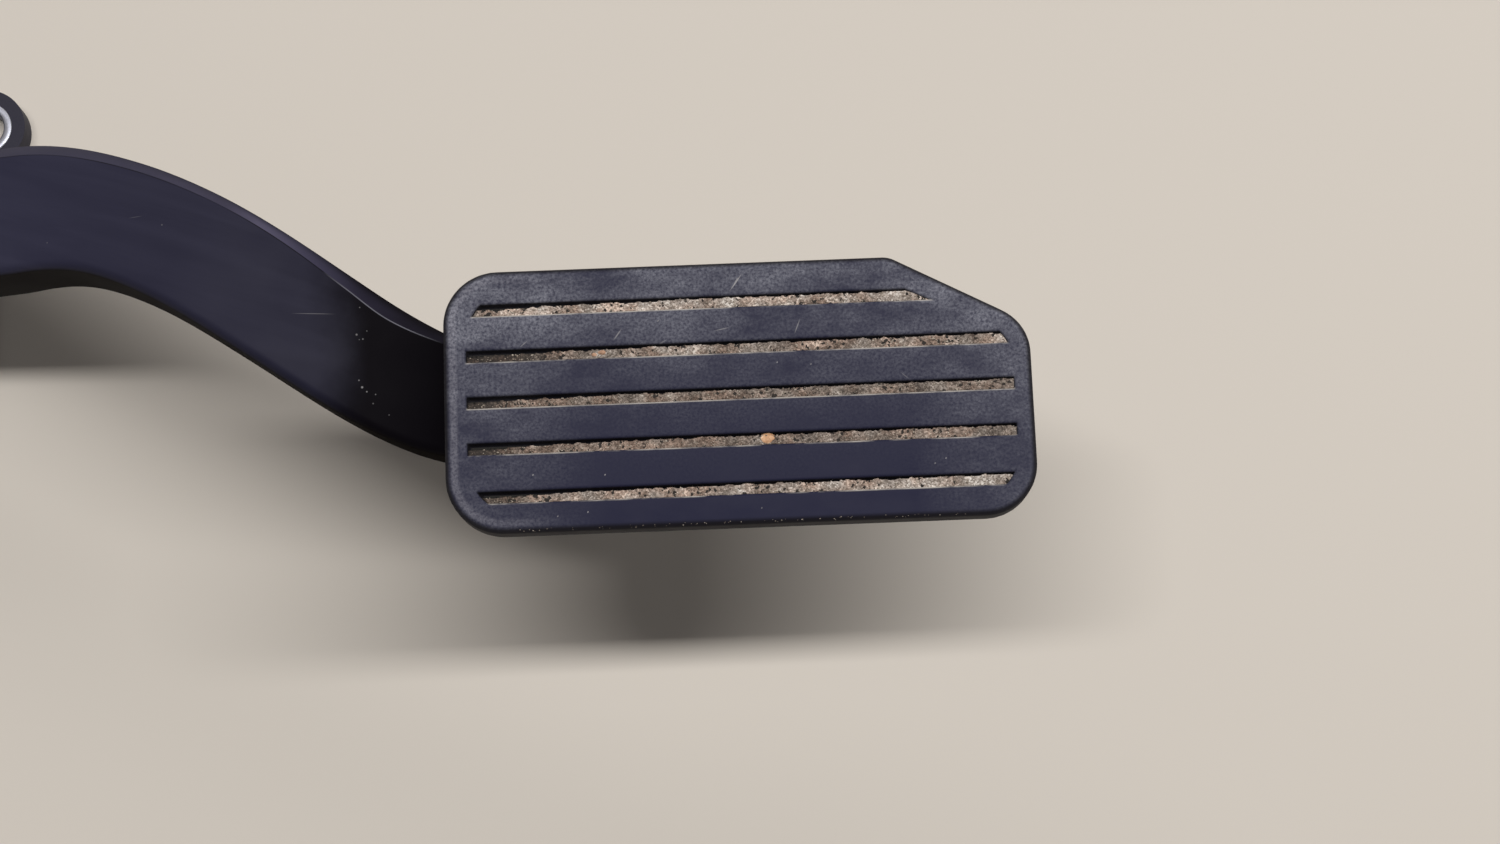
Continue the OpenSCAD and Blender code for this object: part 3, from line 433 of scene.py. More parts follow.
def arm_surface():
    """Polyamide with glass fibre, near black with a blue cast. Its smooth satin skin carries
    little dust. Towards the pad it is painted near black as shade, a dark reflection, with less
    gloss; the bevel carries a painted highlight, the crease beside it a painted dark line and
    near the pad a bright hairline that is partly painted highlight and partly wear; its sides
    are painted near black as shade. It has hair-fine scratches and a few specks."""
    surface, add, shader, place = new_surface("arm_glass_filled_nylon")
    at = add("SeparateXYZ", [place]).node.outputs
    clouds = add("TexNoise", {"Vector": place, "Scale": 60, "Detail": 5})
    grain = add("TexNoise", {"Vector": place, "Scale": 1000 / 0.3, "Detail": 3})
    # Painted shade: towards the pad, most of all near its heel, the face is painted near black as
    # a dark reflection, and its gloss is lowered.
    wobble = add("MapRange", [clouds, 0, 1, -0.006, 0.006])
    reach = add("Math", [at["X"], wobble])
    near = add("MapRange", [reach, 0.146, 0.157, 0, 0.6], interpolation_type="SMOOTHSTEP")
    heel_shade = add("MapRange", [reach, 0.090, 0.150, 0, 0.4])
    heel_shade = add("Math", [heel_shade, near])
    up = add("SeparateXYZ", [add("NewGeometry", out="Normal")], out="Z")
    # Painted shade: faces that look sideways or down get a near black colour and more roughness.
    side = add("MapRange", [up, 0.1, 0.55, 0.97, 0])
    # Flow marks of the moulding run along the arm, 4 mm wide and 40 mm long.
    along = add("Mapping", {"Vector": place, "Rotation": (0, 0, -0.35),
                            "Scale": (0.04, 0.004, 0.02)}, vector_type="TEXTURE")
    flow = add("TexNoise", {"Vector": along, "Scale": 1, "Detail": 4, "Distortion": 0.4})
    sheen = add("MapRange", [flow, 0.3, 0.7])
    # The bevel carries a paler strip where the arm bends back: a painted highlight. The crease
    # beside it is a fine dark line of painted shade, and near the pad a bright hairline, painted
    # highlight and partly wear.
    strip = add("ValToRGB", [at["X"]], [(0.112, "3a394c"), (0.126, "504d63"), (0.137, "57546b"),
                                        (0.146, "3d3b50"), (0.164, "23212d")])
    breakup = add("MapRange", [clouds, 0.35, 0.6, 0.35, 0.85])
    bevel = add("Attribute", attribute_name="bevel_strip", out="Fac")
    bevel = add("Math", [bevel, breakup], operation="MULTIPLY")
    # Painted shade and painted highlight: the crease line is dark for most of its length and a
    # bright hairline near the pad, partly wear.
    crease = add("Attribute", attribute_name="crease_line", out="Fac")
    shade = add("ValToRGB", [at["X"]], [(0.149, "0b0b14"), (0.154, "7e7e8a"), (0.166, "7e7e8a"),
                                        (0.1705, "1a1a20")])
    line = add("Math", [crease, breakup], operation="MULTIPLY")
    marks = [(146.6, -27.3, 4.6, -2, 0.1, 0.3), (110.6, -5.1, 1.6, 4, 0.12, 0.12)]
    specks = ((154.9, -31.6, 0.26, 0.5), (156.1, -32.5, 0.2, 0.45), (156.9, -30.9, 0.17, 0.3),
              (155.4, -32.6, 0.15, 0.3), (155.6, -26.2, 0.17, 0.35), (155.8, -42.1, 0.28, 0.7),
              (155.2, -40.7, 0.2, 0.5), (156.7, -43.0, 0.2, 0.6), (157.9, -45.4, 0.2, 0.3),
              (158.4, -43.6, 0.18, 0.4), (161.0, -47.8, 0.18, 0.25), (116.2, -7.3, 0.2, 0.3),
              (92.0, -8.5, 0.18, 0.25))
    marks += [(x, y, radius, 0, radius, strength) for x, y, radius, strength in specks]
    # Painted shade: the sides, which face sideways and down, are painted brown-black.
    colour = coated(add, "242437", [
        (sheen, "2d2d40"), (heel_shade, "0a080d"), (bevel, strip), (line, shade),
        (strokes(add, place, marks), "9a989c"), (side, "060302")])
    rough = add("MapRange", [clouds, 0.3, 0.7, 0.5, 0.62])
    rough = add("Math", [side, 0.35, rough], operation="MULTIPLY_ADD")
    gloss = add("MapRange", [heel_shade, 0, 1, 0.12, 0.02])
    bump = add("Bump", {"Height": grain, "Strength": 0.35, "Distance": 0.00002})
    feed(shader, {"Base Color": colour, "Roughness": rough, "Specular IOR Level": gloss,
                  "Normal": bump, "IOR": 1.53})
    return surface


def inward_of(outline):
    """For each point of an anticlockwise outline the unit vector that points inwards, square
    to the line between the two points beside it."""
    ahead = np.roll(outline, -1, 0) - np.roll(outline, 1, 0)
    return np.stack([-ahead[:, 1], ahead[:, 0]], -1) / np.linalg.norm(ahead, axis=1)[:, None]


def prism(outline, low, high, edge, axis="z", steps=4):
    """Points and faces of a solid with that outline between low and high: rings of the
    outline pulled in by edge times 1 - cos a and lifted by edge times sin a at both ends."""
    a = np.radians(np.linspace(90, 0, steps + 1))
    pull = np.concatenate([edge * (1 - np.cos(a)), edge * (1 - np.cos(a[::-1]))])
    level = np.concatenate([low + edge * (1 - np.sin(a)), high - edge * (1 - np.sin(a[::-1]))])
    flat = outline[None] + pull[:, None, None] * inward_of(outline)[None]
    lift = np.broadcast_to(level[:, None], flat.shape[:2])
    order = {"z": (flat[..., 0], flat[..., 1], lift), "y": (flat[..., 0], lift, flat[..., 1])}
    points = np.stack(order[axis], -1).reshape(-1, 3)
    return points, grid_faces(*flat.shape[:2], capped=True)


def rounded(corners, n=10):
    """Corners (x, y, radius), anticlockwise, as one outline with an arc at each corner."""
    corners = np.array(corners, float)
    points, out = corners[:, :2], []
    for i, r in enumerate(corners[:, 2]):
        back, on = points[i - 1] - points[i], points[(i + 1) % len(points)] - points[i]
        back, on = back / np.linalg.norm(back), on / np.linalg.norm(on)
        half = math.acos(np.clip(back @ on, -1, 1)) / 2
        middle = back + on
        centre = points[i] + middle / np.linalg.norm(middle) * r / math.sin(half)
        start = math.degrees(math.atan2(on[0], -on[1])) + 2 * math.degrees(half)
        out.append(arc(*centre, r, start, start + 180 - 2 * math.degrees(half), n))
    return np.concatenate(out)


hub_r, hub_half, bore_r, hub_edge = 12.0, arm_w / 2, 5.02, 0.8
hub_side = [(bore_r, 0.4), (bore_r + 0.4, 0), (hub_r - hub_edge, 0), (hub_r - 0.24, 0.24),
            (hub_r, hub_edge)]
hub_profile = [(r, drop - hub_half) for r, drop in hub_side]
hub_profile += [(r, hub_half - drop) for r, drop in hub_side[::-1]]
hub = turned(hub_profile, [(0, 0, pivot_z)], "y", 72)

# The tail hangs straight down at half travel, so at rest it is turned back by 7 degrees.
half_travel = math.radians(7)
tail_r, nose_r, tail_half_t, tail_half_w = 22.0, 4.5, 3.0, hub_half - 4
nose_open = math.degrees(math.asin(tail_half_t / nose_r))
tail = np.concatenate([arc(0, -tail_r, nose_r, 90 + nose_open, 450 - nose_open, 30),
                       [(tail_half_t, 1 - hub_r), (-tail_half_t, 1 - hub_r)]])
back, down = math.sin(half_travel), math.cos(half_travel)
tail = tail @ np.array([[down, back], [-back, down]]) + (0, pivot_z)
plate = rounded([(-52, -21.5, 8.5), (52, -21.5, 7), (52, 9, 7), (27.8, 21.5, 5),
                 (-52, 21.5, 8.5)]) + (pad_x, pad_y)
arm_shape = joined([(rings, beam_faces), hub, prism(tail, -tail_half_w, tail_half_w, 0.6, "y"),
                    prism(plate, plate_low, plate_high, 0.5)])
# Shares for each point of the painted dark crease line and of the painted highlight on the bevel.
crease, strip = np.zeros((2, len(arm_shape[0])))
crease[:count * size].reshape(count, size)[:, crease_at + 1:crease_at + 4] = 1
strip[:count * size].reshape(count, size)[:, crease_at + 4:crease_at + 7] = 1, 0.8, 0.45
piece("pedal_arm_moulding", *arm_shape, arm_surface(), "pedal", "arm_plastic", ["pedal_arm"],
      crease_line=crease, bevel_strip=strip)


# ---- Tread pad ----
# A separate moulding of hard black elastomer, clipped over the arm's plate. Five grooves run
# along it and stop short of its rim, one corner is cut off, and its upper edge is rounded.
# Shoes have left it dull and dusty towards its upper edge and its rim.

pad_half_l, pad_half_w, pad_top_edge = 55.95, 25.5, 1.25
pad_outline = rounded([(-pad_half_l, -pad_half_w, 11), (pad_half_l, -pad_half_w, 10),
                       (pad_half_l, 11.5, 9.5), (29.7, pad_half_w, 5),
                       (-pad_half_l, pad_half_w, 10.4)], 14)
# The grooves stop where their field stops, with a wider border at the heel and the cut.
groove_field = rounded([(-51.7, -22, 10), (52.5, -22, 8.2), (52.5, 9.4, 8.2), (26.2, 22, 5),
                        (-51.7, 22, 10)], 14)
groove_y = [17.8, 8.8, -0.2, -9.2, -18.6]
groove_half, groove_floor = 1.2, -2.1


def edge_distance(x, y, outline=pad_outline):
    """Shortest distance from points to an outline, below zero outside it: for each side of
    the outline, the point's foot on it is held between its ends, and the nearest wins. The
    outline is convex, so a point that lies right of any side is outside."""
    along = np.roll(outline, -1, 0) - outline
    p = np.stack([x.ravel(), y.ravel()], -1)[:, None] - outline[None]
    share = np.clip((p * along).sum(-1) / (along ** 2).sum(-1), 0, 1)
    near = np.linalg.norm(p - share[..., None] * along, axis=-1).min(1)
    left_of = along[:, 0] * p[..., 1] - along[:, 1] * p[..., 0]
    return np.where((left_of > -1e-6).all(1), near, -near).reshape(x.shape)


# Rows of points lie close at the rim and at each groove's lips, and so do their ends.
rim_steps = np.array([0, 0.03, 0.1, 0.22, 0.4, 0.62, 0.88, 1.25, 1.6, 2.0, 2.5, 3.0])
lip = np.array([0.5, 0.34, 0.2, 0.1, 0, -0.08, -0.18, -0.32, -0.55])
rows = [-pad_half_w + rim_steps, pad_half_w - rim_steps, -pad_half_w + np.array([4.0, 4.8]),
        pad_half_w - np.array([3.9, 4.6, 5.4])]
for middle in groove_y:
    rows += [middle - groove_half - lip, middle + groove_half + lip, [middle]]
for upper, lower in zip(groove_y[:-1], groove_y[1:]):
    rows.append(np.linspace(lower + groove_half + 0.5, upper - groove_half - 0.5, 8)[1:-1])
rows = np.unique(np.round(np.concatenate(rows), 4))
end_steps = np.concatenate([rim_steps[:-1], np.arange(3, 13, 0.22)])
# The left and right end of each row, read off the outline's two sides.
sides = [pad_outline[hand * pad_outline[:, 0] > 0] for hand in (-1, 1)]
sides = [side[np.argsort(side[:, 1], kind="stable")] for side in sides]
left_end, right_end = [np.interp(rows, side[:, 1], side[:, 0]) for side in sides]
low_x, high_x = left_end + end_steps[-1], right_end - end_steps[-1]
across = np.concatenate([left_end[:, None] + end_steps,
                         low_x[:, None] + (high_x - low_x)[:, None] * np.linspace(0, 1, 70)[1:-1],
                         right_end[:, None] - end_steps[::-1]], 1)
up = np.repeat(rows[:, None], across.shape[1], 1)
inside = edge_distance(across, up)
in_field = edge_distance(across, up, groove_field)


def face_height(y, inside, in_field):
    """Height of the pad's face: flat, falling over a quarter circle at the rim, and down
    into each groove where both its side line and its field's outline are passed."""
    short = np.clip(pad_top_edge - inside, 0, pad_top_edge)
    height = np.sqrt(pad_top_edge ** 2 - short ** 2) - pad_top_edge
    for middle in groove_y:
        past = np.maximum(np.abs(y - middle) - groove_half, -in_field)
        height += np.interp(past, [-0.75, -0.5, -0.32, -0.12, 0, 0.12, 0.3, 0.5],
                            [groove_floor, -2.0, -1.7, -0.7, -0.24, -0.1, -0.02, 0])
    return height


height = face_height(up, inside, in_field)
height += 0.03 * (np.sin(across / 7.3 + 1) * np.cos(up / 5.1) - 1) * (inside > 2)
top = np.stack([across, up, height], -1)
numbers = np.arange(up.size).reshape(up.shape)
rim = np.concatenate([numbers[0, :-1], numbers[:-1, -1], numbers[-1, :0:-1], numbers[:0:-1, 0]])
rim_points = top.reshape(-1, 3)[rim][:, :2]
inward = inward_of(rim_points)
# The walls: how far in and how deep each ring of points below the face lies.
skirt = [(0.02, -2.5), (0.05, -4), (0.12, -5.5), (0.3, -5.85), (0.6, -6), (2, -6),
         (3.85, -6), (3.9, -5.8), (3.9, -4)]
levels = np.array([np.c_[rim_points + pull * inward, np.full(len(rim), drop)]
                   for pull, drop in skirt])
numbers = np.concatenate([rim, up.size + np.arange(len(skirt) * len(rim))])
pad_faces = (grid_faces(*up.shape, closed=False)
             + numbers[grid_faces(len(skirt) + 1, len(rim))].tolist()
             + [numbers[-len(rim):].tolist()])
pad_points = np.concatenate([top.reshape(-1, 3), levels.reshape(-1, 3)]) + (pad_x, pad_y, pad_z)


def pad_surface():
    """Hard elastomer filled with carbon black, matt and blue-black. Ground-in dust greys it
    towards its upper edge, its left end and its rim, in a mottle of half a millimetre. Its
    rounded edge and the walls below its face are painted near black as shade, and the grooves'
    lower lips carry a pale line that is partly dust and partly painted highlight."""
    surface, add, shader, place = new_surface("black_elastomer")
    at = add("SeparateXYZ", [place]).node.outputs
    drawn = add("Mapping", {"Vector": place, "Scale": (0.6, 1, 1)})
    clouds = add("TexNoise", {"Vector": drawn, "Scale": 120, "Detail": 8, "Roughness": 0.66})
    mottle = add("TexNoise", {"Vector": place, "Scale": 1000 / 0.55, "Detail": 4,
                              "Roughness": 0.65})
    # From the lower to the upper edge the dust grows with the square of the distance.
    rise = add("MapRange", [at["Y"], -0.078, -0.027])
    higher = add("Math", [rise, 2.4], operation="POWER")
    left = add("MapRange", [at["X"], 0.176, 0.204, 0.42, 0])
    right = add("MapRange", [at["X"], 0.262, 0.282, 0, 0.5])
    ends = add("Math", [left, right])
    whole = add("Math", [higher, ends])
    patchy = add("MapRange", [clouds, 0.36, 0.66, 0.25, 1.7])
    fine = add("MapRange", [mottle, 0.34, 0.66, 0.3, 1.7])
    share = add("Math", [whole, patchy], operation="MULTIPLY")
    share = add("Math", [share, fine], operation="MULTIPLY")
    share = add("Math", [share, 0.2], operation="MULTIPLY", use_clamp=True)
    # The rim: a band that is rubbed pale at the left end, and outside it the dark edge, painted
    # shade where the edge rounds over.
    rim = add("Attribute", attribute_name="from_rim", out="Fac")
    band = add("ValToRGB", [rim], [(0.24, "000000"), (0.36, "ffffff"), (0.56, "ffffff"),
                                   (0.7, "000000")])
    at_left = add("MapRange", [at["X"], 0.176, 0.196, 0.15, 0])
    pale = add("Math", [band, at_left], operation="MULTIPLY")
    pale = add("Math", [pale, fine], operation="MULTIPLY")
    # Hairline scratches and white specks.
    marks = [(229.8, -28.1, 2.2, -126, 0.16, 0.6), (229.8, -27.9, 1.0, -120, 0.14, 0.45),
             (206.9, -37.5, 1.5, 54, 0.16, 0.4), (226.8, -37.2, 1.8, 11, 0.12, 0.35),
             (241.2, -37.2, 1.7, 68, 0.14, 0.35), (224.0, -31.0, 1.2, 17, 0.12, 0.25),
             (215.2, -39.4, 1.4, 27, 0.12, 0.25), (258.5, -32.0, 1.4, 27, 0.12, 0.25),
             (261.2, -47.6, 1.1, -41, 0.12, 0.2), (189.0, -38.6, 1.1, 40, 0.12, 0.35)]
    specks = ((237.1, -44.1, 0.5), (243.5, -44.7, 0.4), (214.7, -35.1, 0.5), (190.2, -64.1, 0.6),
              (203.8, -64.6, 0.6), (194.7, -72.2, 0.4), (203.1, -74.8, 0.4), (268.2, -63.9, 0.5),
              (266.1, -64.8, 0.4), (200.4, -71.6, 0.6), (233.1, -72.1, 0.3), (254.9, -32.6, 0.4))
    marks += [(x, y, 0.22, 60, 0.15, strength) for x, y, strength in specks]
    # Painted shade: the rounded edge and everything below the face, the groove walls and the
    # pad's sides, are painted near black.
    outside = add("MapRange", [rim, 0.12, 0.3, 0.85, 0])
    below = add("MapRange", [at["Z"], 0.0873, 0.0877, 0.9, 0])
    dark = add("Math", [outside, below], operation="MAXIMUM")
    # A pale line on the grooves' lower lips: partly dust caught there, partly painted highlight
    # on the lip's edge.
    lip_glint_and_dust = add("Attribute", attribute_name="lip", out="Fac")
    broken = add("MapRange", [clouds, 0.42, 0.56, 0, 0.85])
    line = add("Math", [lip_glint_and_dust, broken], operation="MULTIPLY")
    colour = coated(add, "1d1e34", [
        (share, "a9abb8"), (pale, "a9a8b4"),
        (strokes(add, place, marks), "b4b2b4"), (dark, "0d0b0d"),
        (line, "c2bdb8")])
    rough = add("MapRange", [clouds, 0.3, 0.7, 0.6, 0.74])
    bump = add("Bump", {"Height": mottle, "Strength": 0.5, "Distance": 0.00004})
    feed(shader, {"Base Color": colour, "Roughness": rough, "Normal": bump, "IOR": 1.5,
                  "Specular IOR Level": 0.14})
    return surface


stud_r, stud_low = 2.5, plate_low - 2.4
stud_profile = [(0.001, stud_low), (stud_r - 0.6, stud_low), (stud_r - 0.15, stud_low + 0.2),
                (stud_r, stud_low + 0.7), (stud_r, plate_high + 0.1), (0.001, plate_high + 0.1)]
stud_places = [(pad_x + dx, pad_y + dy, 0) for dx in (-31, 31) for dy in (-16, 16)]
pad_shape = joined([(pad_points, pad_faces), turned(stud_profile, stud_places, count=32)])
# The pale line on the lower lips is partly dust and partly painted highlight.
lower_lip = np.zeros(len(pad_shape[0]))
for middle in groove_y:
    past = middle - groove_half - up
    at_lip = np.interp(past, [-0.35, -0.15, 0.12, 0.32], [0, 1, 1, 0])
    at_lip *= np.interp(in_field, [-0.1, 0.3], [0, 1])
    lower_lip[:up.size] += at_lip.ravel()
# Distance from the rim in units of 4 mm; the walls below it count as the rim itself.
from_rim = np.zeros(len(pad_shape[0]))
from_rim[:up.size] = np.clip(inside.ravel() / 4, 0, 1)
piece("pedal_pad_moulding", *pad_shape, pad_surface(), "pedal", "pad_rubber", ["pedal_pad"],
      crease=60, lip=lower_lip, from_rim=from_rim)

# Spring-steel push nuts with a toothed rim grip the pad's studs behind the plate.
nut_zinc = plated("push_nut_steel", "8f9193", 0.38, 0.2, 0.01, 0.3)
nut_low, nut_r = plate_low - 0.8, stud_r + 2.8
nut_profile = [(stud_r + 0.02, nut_low + 0.25), (stud_r + 0.9, nut_low),
               (nut_r - 0.2, nut_low + 0.15), (nut_r, nut_low + 0.4), (nut_r, plate_low - 0.02),
               (stud_r + 1.2, plate_low - 0.02), (stud_r + 0.02, nut_low + 0.65)]
piece("pad_push_nuts_pressed", *turned(nut_profile, stud_places, "z", 72, 0.16, 12), nut_zinc,
      "pedal", "zinc_screw", ["pad_push_nuts"])


# ---- Grit in the grooves ----
# Shoes have packed the grooves with fine sand and road grit: a crumbly bed that lies high
# against the lower lip and low against the upper one, thins out at the left ends, and
# carries loose grains, one tan pebble and two reddish ones.

dice = np.random.default_rng(7)


def rough_noise(shape, cells, dice):
    """Smooth random heights from -1 to 1 on a grid: random numbers on a coarse grid of cells,
    read between with a smooth step along both directions."""
    values = dice.uniform(-1, 1, (cells[0] + 2, cells[1] + 2))
    u = np.linspace(0, cells[0], shape[0])[:, None]
    v = np.linspace(0, cells[1], shape[1])[None]
    i, j = np.floor(u).astype(int), np.floor(v).astype(int)
    s, t = u - i, v - j
    s, t = s * s * (3 - 2 * s), t * t * (3 - 2 * t)
    return ((values[i, j] * (1 - s) + values[i + 1, j] * s) * (1 - t)
            + (values[i, j + 1] * (1 - s) + values[i + 1, j + 1] * s) * t)


def gap_width(x):
    """Width of the open gap along the upper lip at x: narrow, and wide at the left end."""
    return np.interp(x, [-52, -44, -30, -10, 52], [1.1, 0.95, 0.68, 0.52, 0.45])


def grit_level(x, y_up, ragged):
    """Depth of the bed below the pad's face at x and at a distance y_up below the upper lip:
    shallow and a little lower to the left, and steeply down where the ragged gap begins."""
    bed = 0.34 + 0.5 * np.clip((-30 - x) / 22, 0, 1)
    return bed + 2.4 * np.clip((gap_width(x) + ragged - y_up) / 0.22, 0, 1)


bed_parts, grains, bed_deep, bed_pale = [], [], [], []
pale_of_groove = [1.25, 0.75, 0.4, 0.5, 1.1]
left_of_groove = [(0.9, -50), (-0.9, -37), (-0.8, -45), (-0.7, -43), (0.0, -40)]
for middle, pale, (pale_left, until) in zip(groove_y, pale_of_groove, left_of_groove):
    x = np.arange(-53, 53.5, 0.2)
    across_mm = np.array([0, 0.1, 0.2, 0.32, 0.45, 0.6, 0.78, 1.0, 1.3, 1.6, 1.9, 2.15, 2.36])
    gx, below = np.meshgrid(x, across_mm, indexing="ij")
    gy = middle + groove_half - 0.02 - below
    at_edge = edge_distance(gx, gy, groove_field)
    ragged = 0.2 * rough_noise(gx.shape, (80, 1), dice)
    ragged += 0.15 * rough_noise(gx.shape, (230, 1), dice)
    depth = grit_level(gx, below, ragged) + 0.1 * rough_noise(gx.shape, (170, 5), dice)
    depth += 0.08 * rough_noise(gx.shape, (400, 9), dice)
    depth += np.clip((0.22 - at_edge) / 0.4, 0, 3)
    keep = at_edge.max(1) > -0.7
    gx, gy, depth = gx[keep], gy[keep], depth[keep]
    upper = np.stack([gx, gy, -np.clip(depth, 0.03, 2.05)], -1)
    under = upper[:, ::-1] * (1, 1, 0) + (0, 0, groove_floor - 0.1)
    ring = np.concatenate([upper, under[:, [0, -1]]], 1)
    bed_parts.append((ring.reshape(-1, 3) + (pad_x, pad_y, pad_z),
                      grid_faces(*ring.shape[:2], capped=True)))
    # Painted shade: where the bed lies more than 0.6 mm below the face, along the upper lip's gap
    # and at the left ends, it is painted near black.
    bed_deep.append(np.clip((-ring[..., 2] - 0.62) / 0.6, 0, 1).ravel())
    bed_pale.append(np.interp(ring[..., 0], [until - 4, until + 4], [pale_left, pale]).ravel())
    number = 520
    sx = dice.uniform(gx.min() + 0.4, gx.max() - 0.4, number)
    sd = dice.uniform(0.3, 2.25, number)
    sy = middle + groove_half - sd
    size_mm = 0.08 + 0.13 * dice.random(number) ** 3
    fits = (edge_distance(sx, sy, groove_field) > 0.35) & (sd > gap_width(sx) + 0.15)
    grains.append(np.stack([sx, sy, -grit_level(sx, sd, 0) + 0.3 * size_mm, size_mm],
                           -1)[fits])


def stones(places, dice, flat=0.7):
    """Points and faces of small stones (x, y, z, radius): for each an icosahedron, whose
    twelve corners are pushed in or out at random, turned at random and flattened."""
    gold = (1 + 5 ** 0.5) / 2
    corner = np.array([(-1, gold, 0), (1, gold, 0), (-1, -gold, 0), (1, -gold, 0)])
    corner = np.concatenate([np.roll(corner, axis, 1) for axis in range(3)])
    corner /= np.linalg.norm(corner[0])
    face = np.array([(0, 11, 5), (0, 5, 1), (0, 1, 7), (0, 7, 10), (0, 10, 11), (1, 5, 9),
                     (5, 11, 4), (11, 10, 2), (10, 7, 6), (7, 1, 8), (3, 9, 4), (3, 4, 2),
                     (3, 2, 6), (3, 6, 8), (3, 8, 9), (4, 9, 5), (2, 4, 11), (6, 2, 10),
                     (8, 6, 7), (9, 8, 1)])
    shape = corner[None] * dice.uniform(0.75, 1.2, (len(places), 12, 1))
    turn = dice.uniform(0, 2 * np.pi, (len(places), 1))
    x = shape[..., 0] * np.cos(turn) - shape[..., 1] * np.sin(turn)
    y = shape[..., 0] * np.sin(turn) + shape[..., 1] * np.cos(turn)
    shape = np.stack([x * dice.uniform(1, 1.5, turn.shape), y, shape[..., 2] * flat], -1)
    points = shape * places[:, None, 3:] + places[:, None, :3]
    faces = face[None] + 12 * np.arange(len(places))[:, None, None]
    return points.reshape(-1, 3), faces.reshape(-1, 3).tolist()


def mineral(name, shades, grain_mm, relief_mm, rough, dark_share=0.0):
    """Broken stone: every grain of grain_mm takes its own shade from the ramp and stands at its
    own height, sinking towards its edges. It is paler by its value bleached, and is painted
    near black as shade by its value for recesses; dark_share of its larger stones are black."""
    surface, add, shader, place = new_surface(name)
    cell = add("TexVoronoi", {"Vector": place, "Scale": 1000 / grain_mm}).node.outputs
    own = add("SeparateColor", [cell["Color"]])
    clouds = add("TexNoise", {"Vector": place, "Scale": 260, "Detail": 6, "Roughness": 0.72})
    bleached = add("Attribute", attribute_name="bleached", out="Fac")
    both = add("Math", [clouds, 3.0, own], operation="MULTIPLY_ADD")
    both = add("Math", [bleached, 0.7, both], operation="MULTIPLY_ADD")
    tone = add("MapRange", [both, 1.35, 3.5])
    count = len(shades) - 1
    colour = add("ValToRGB", [tone], [(i / count, shade) for i, shade in enumerate(shades)])
    if dark_share:
        earth = add("TexNoise", {"Vector": place, "Scale": 210, "Detail": 3})
        brown = add("MapRange", [earth, 0.4, 0.6])
        few = add("MapRange", [earth, 0.35, 0.65, 0, 2 * dark_share])
        colour = coated(add, colour, [(brown, "f8e6dc")], blend_type="MULTIPLY")
        large = add("TexVoronoi", {"Vector": place, "Scale": 1000 / 0.55}, out="Color")
        lot = add("SeparateColor", [large])
        black = add("Math", [lot, few], operation="LESS_THAN")
        colour = coated(add, colour, [(black, "1d1714")])
    # Painted shade: the bed is painted near black where it lies low.
    deep = add("Attribute", attribute_name="deep", out="Fac")
    colour = coated(add, colour, [(deep, "0d0b0a")])
    high = add("Math", [own, cell["Distance"]], operation="SUBTRACT")
    bump = add("Bump", {"Height": high, "Strength": 0.8, "Distance": relief_mm / 1000})
    feed(shader, {"Base Color": colour, "Roughness": rough, "Normal": bump})
    return surface


# Packed sand: quartz and crushed stone of 0.3 mm, grey-beige, dry and matt.
packed_grit = mineral("packed_road_grit", ["2a2320", "534a44", "7b716a", "aaa099", "e8e2dc"],
                      0.3, 0.12, 0.85, dark_share=0.09)
loose_grit = mineral("loose_road_grit", ["5a5048", "958a7f", "b9afa3", "e2dcd2"], 0.5, 0.05,
                     0.7)
piece("groove_grit_bed", *joined(bed_parts), packed_grit, "pedal", crease=80,
      deep=np.concatenate(bed_deep), bleached=np.concatenate(bed_pale))
# Some grains have caught under the pad's lower edge.
rim_x = dice.uniform(-42, 42, 70)
rim_size = 0.05 + 0.06 * dice.random(70) ** 2
rim_in = dice.uniform(0.2, 0.7, 70)
rim_z = np.sqrt(pad_top_edge ** 2 - (pad_top_edge - rim_in) ** 2) - pad_top_edge
grains.append(np.stack([rim_x, rim_in - pad_half_w, rim_z, rim_size], -1))
grain_places = np.concatenate(grains)
grain_places[:, :3] += (pad_x, pad_y, pad_z)
piece("groove_grit_grains", *stones(grain_places, dice), loose_grit, "pedal", crease=20)

# River gravel: a smooth tan quartz pebble, and two brick-red grains.
pebble_tan = mineral("tan_quartz_pebble", ["a3754f", "ddb390", "fbead8"], 0.8, 0.03, 0.55)
brick_red = mineral("brick_red_grain", ["8a6a56", "b9937a", "d8b8a0"], 0.4, 0.05, 0.7)


def pebble(x, y, z, r, seed):
    """A rounded stone on a grid of latitude and longitude: an ellipsoid whose radius is cut
    by a few random flats, each pushing in what stands out along its own direction."""
    dice = np.random.default_rng(seed)
    rings, sides = 15, 28
    lat = np.linspace(-np.pi / 2, np.pi / 2, rings + 2)[1:-1, None]
    lon = np.linspace(0, 2 * np.pi, sides, endpoint=False)[None]
    way = np.stack([np.cos(lat) * np.cos(lon), np.cos(lat) * np.sin(lon),
                    np.broadcast_to(np.sin(lat), (rings, sides))], -1)
    flats = dice.normal(size=(9, 3))
    flats /= np.linalg.norm(flats, axis=1)[:, None]
    reach = way @ flats.T
    limit = dice.uniform(0.78, 0.95, 9) / np.maximum(reach, 0.2)
    points = way * np.minimum(1, limit.min(-1))[..., None] * np.array(r) + (x, y, z)
    return points.reshape(-1, 3), grid_faces(rings, sides, capped=True)


piece("groove_pebble", *pebble(pad_x + 5.2, pad_y - 9.3, pad_z - 0.9, (1.75, 1.2, 0.8), 3),
      pebble_tan, "pedal", crease=40)
piece("groove_red_grains",
      *joined([pebble(pad_x - 25.7, pad_y + 8.7, pad_z - 0.5, (0.8, 0.55, 0.45), 5),
               pebble(pad_x - 27.2, pad_y + 8.3, pad_z - 0.5, (0.6, 0.45, 0.4), 8)]),
      brick_red, "pedal", crease=40)


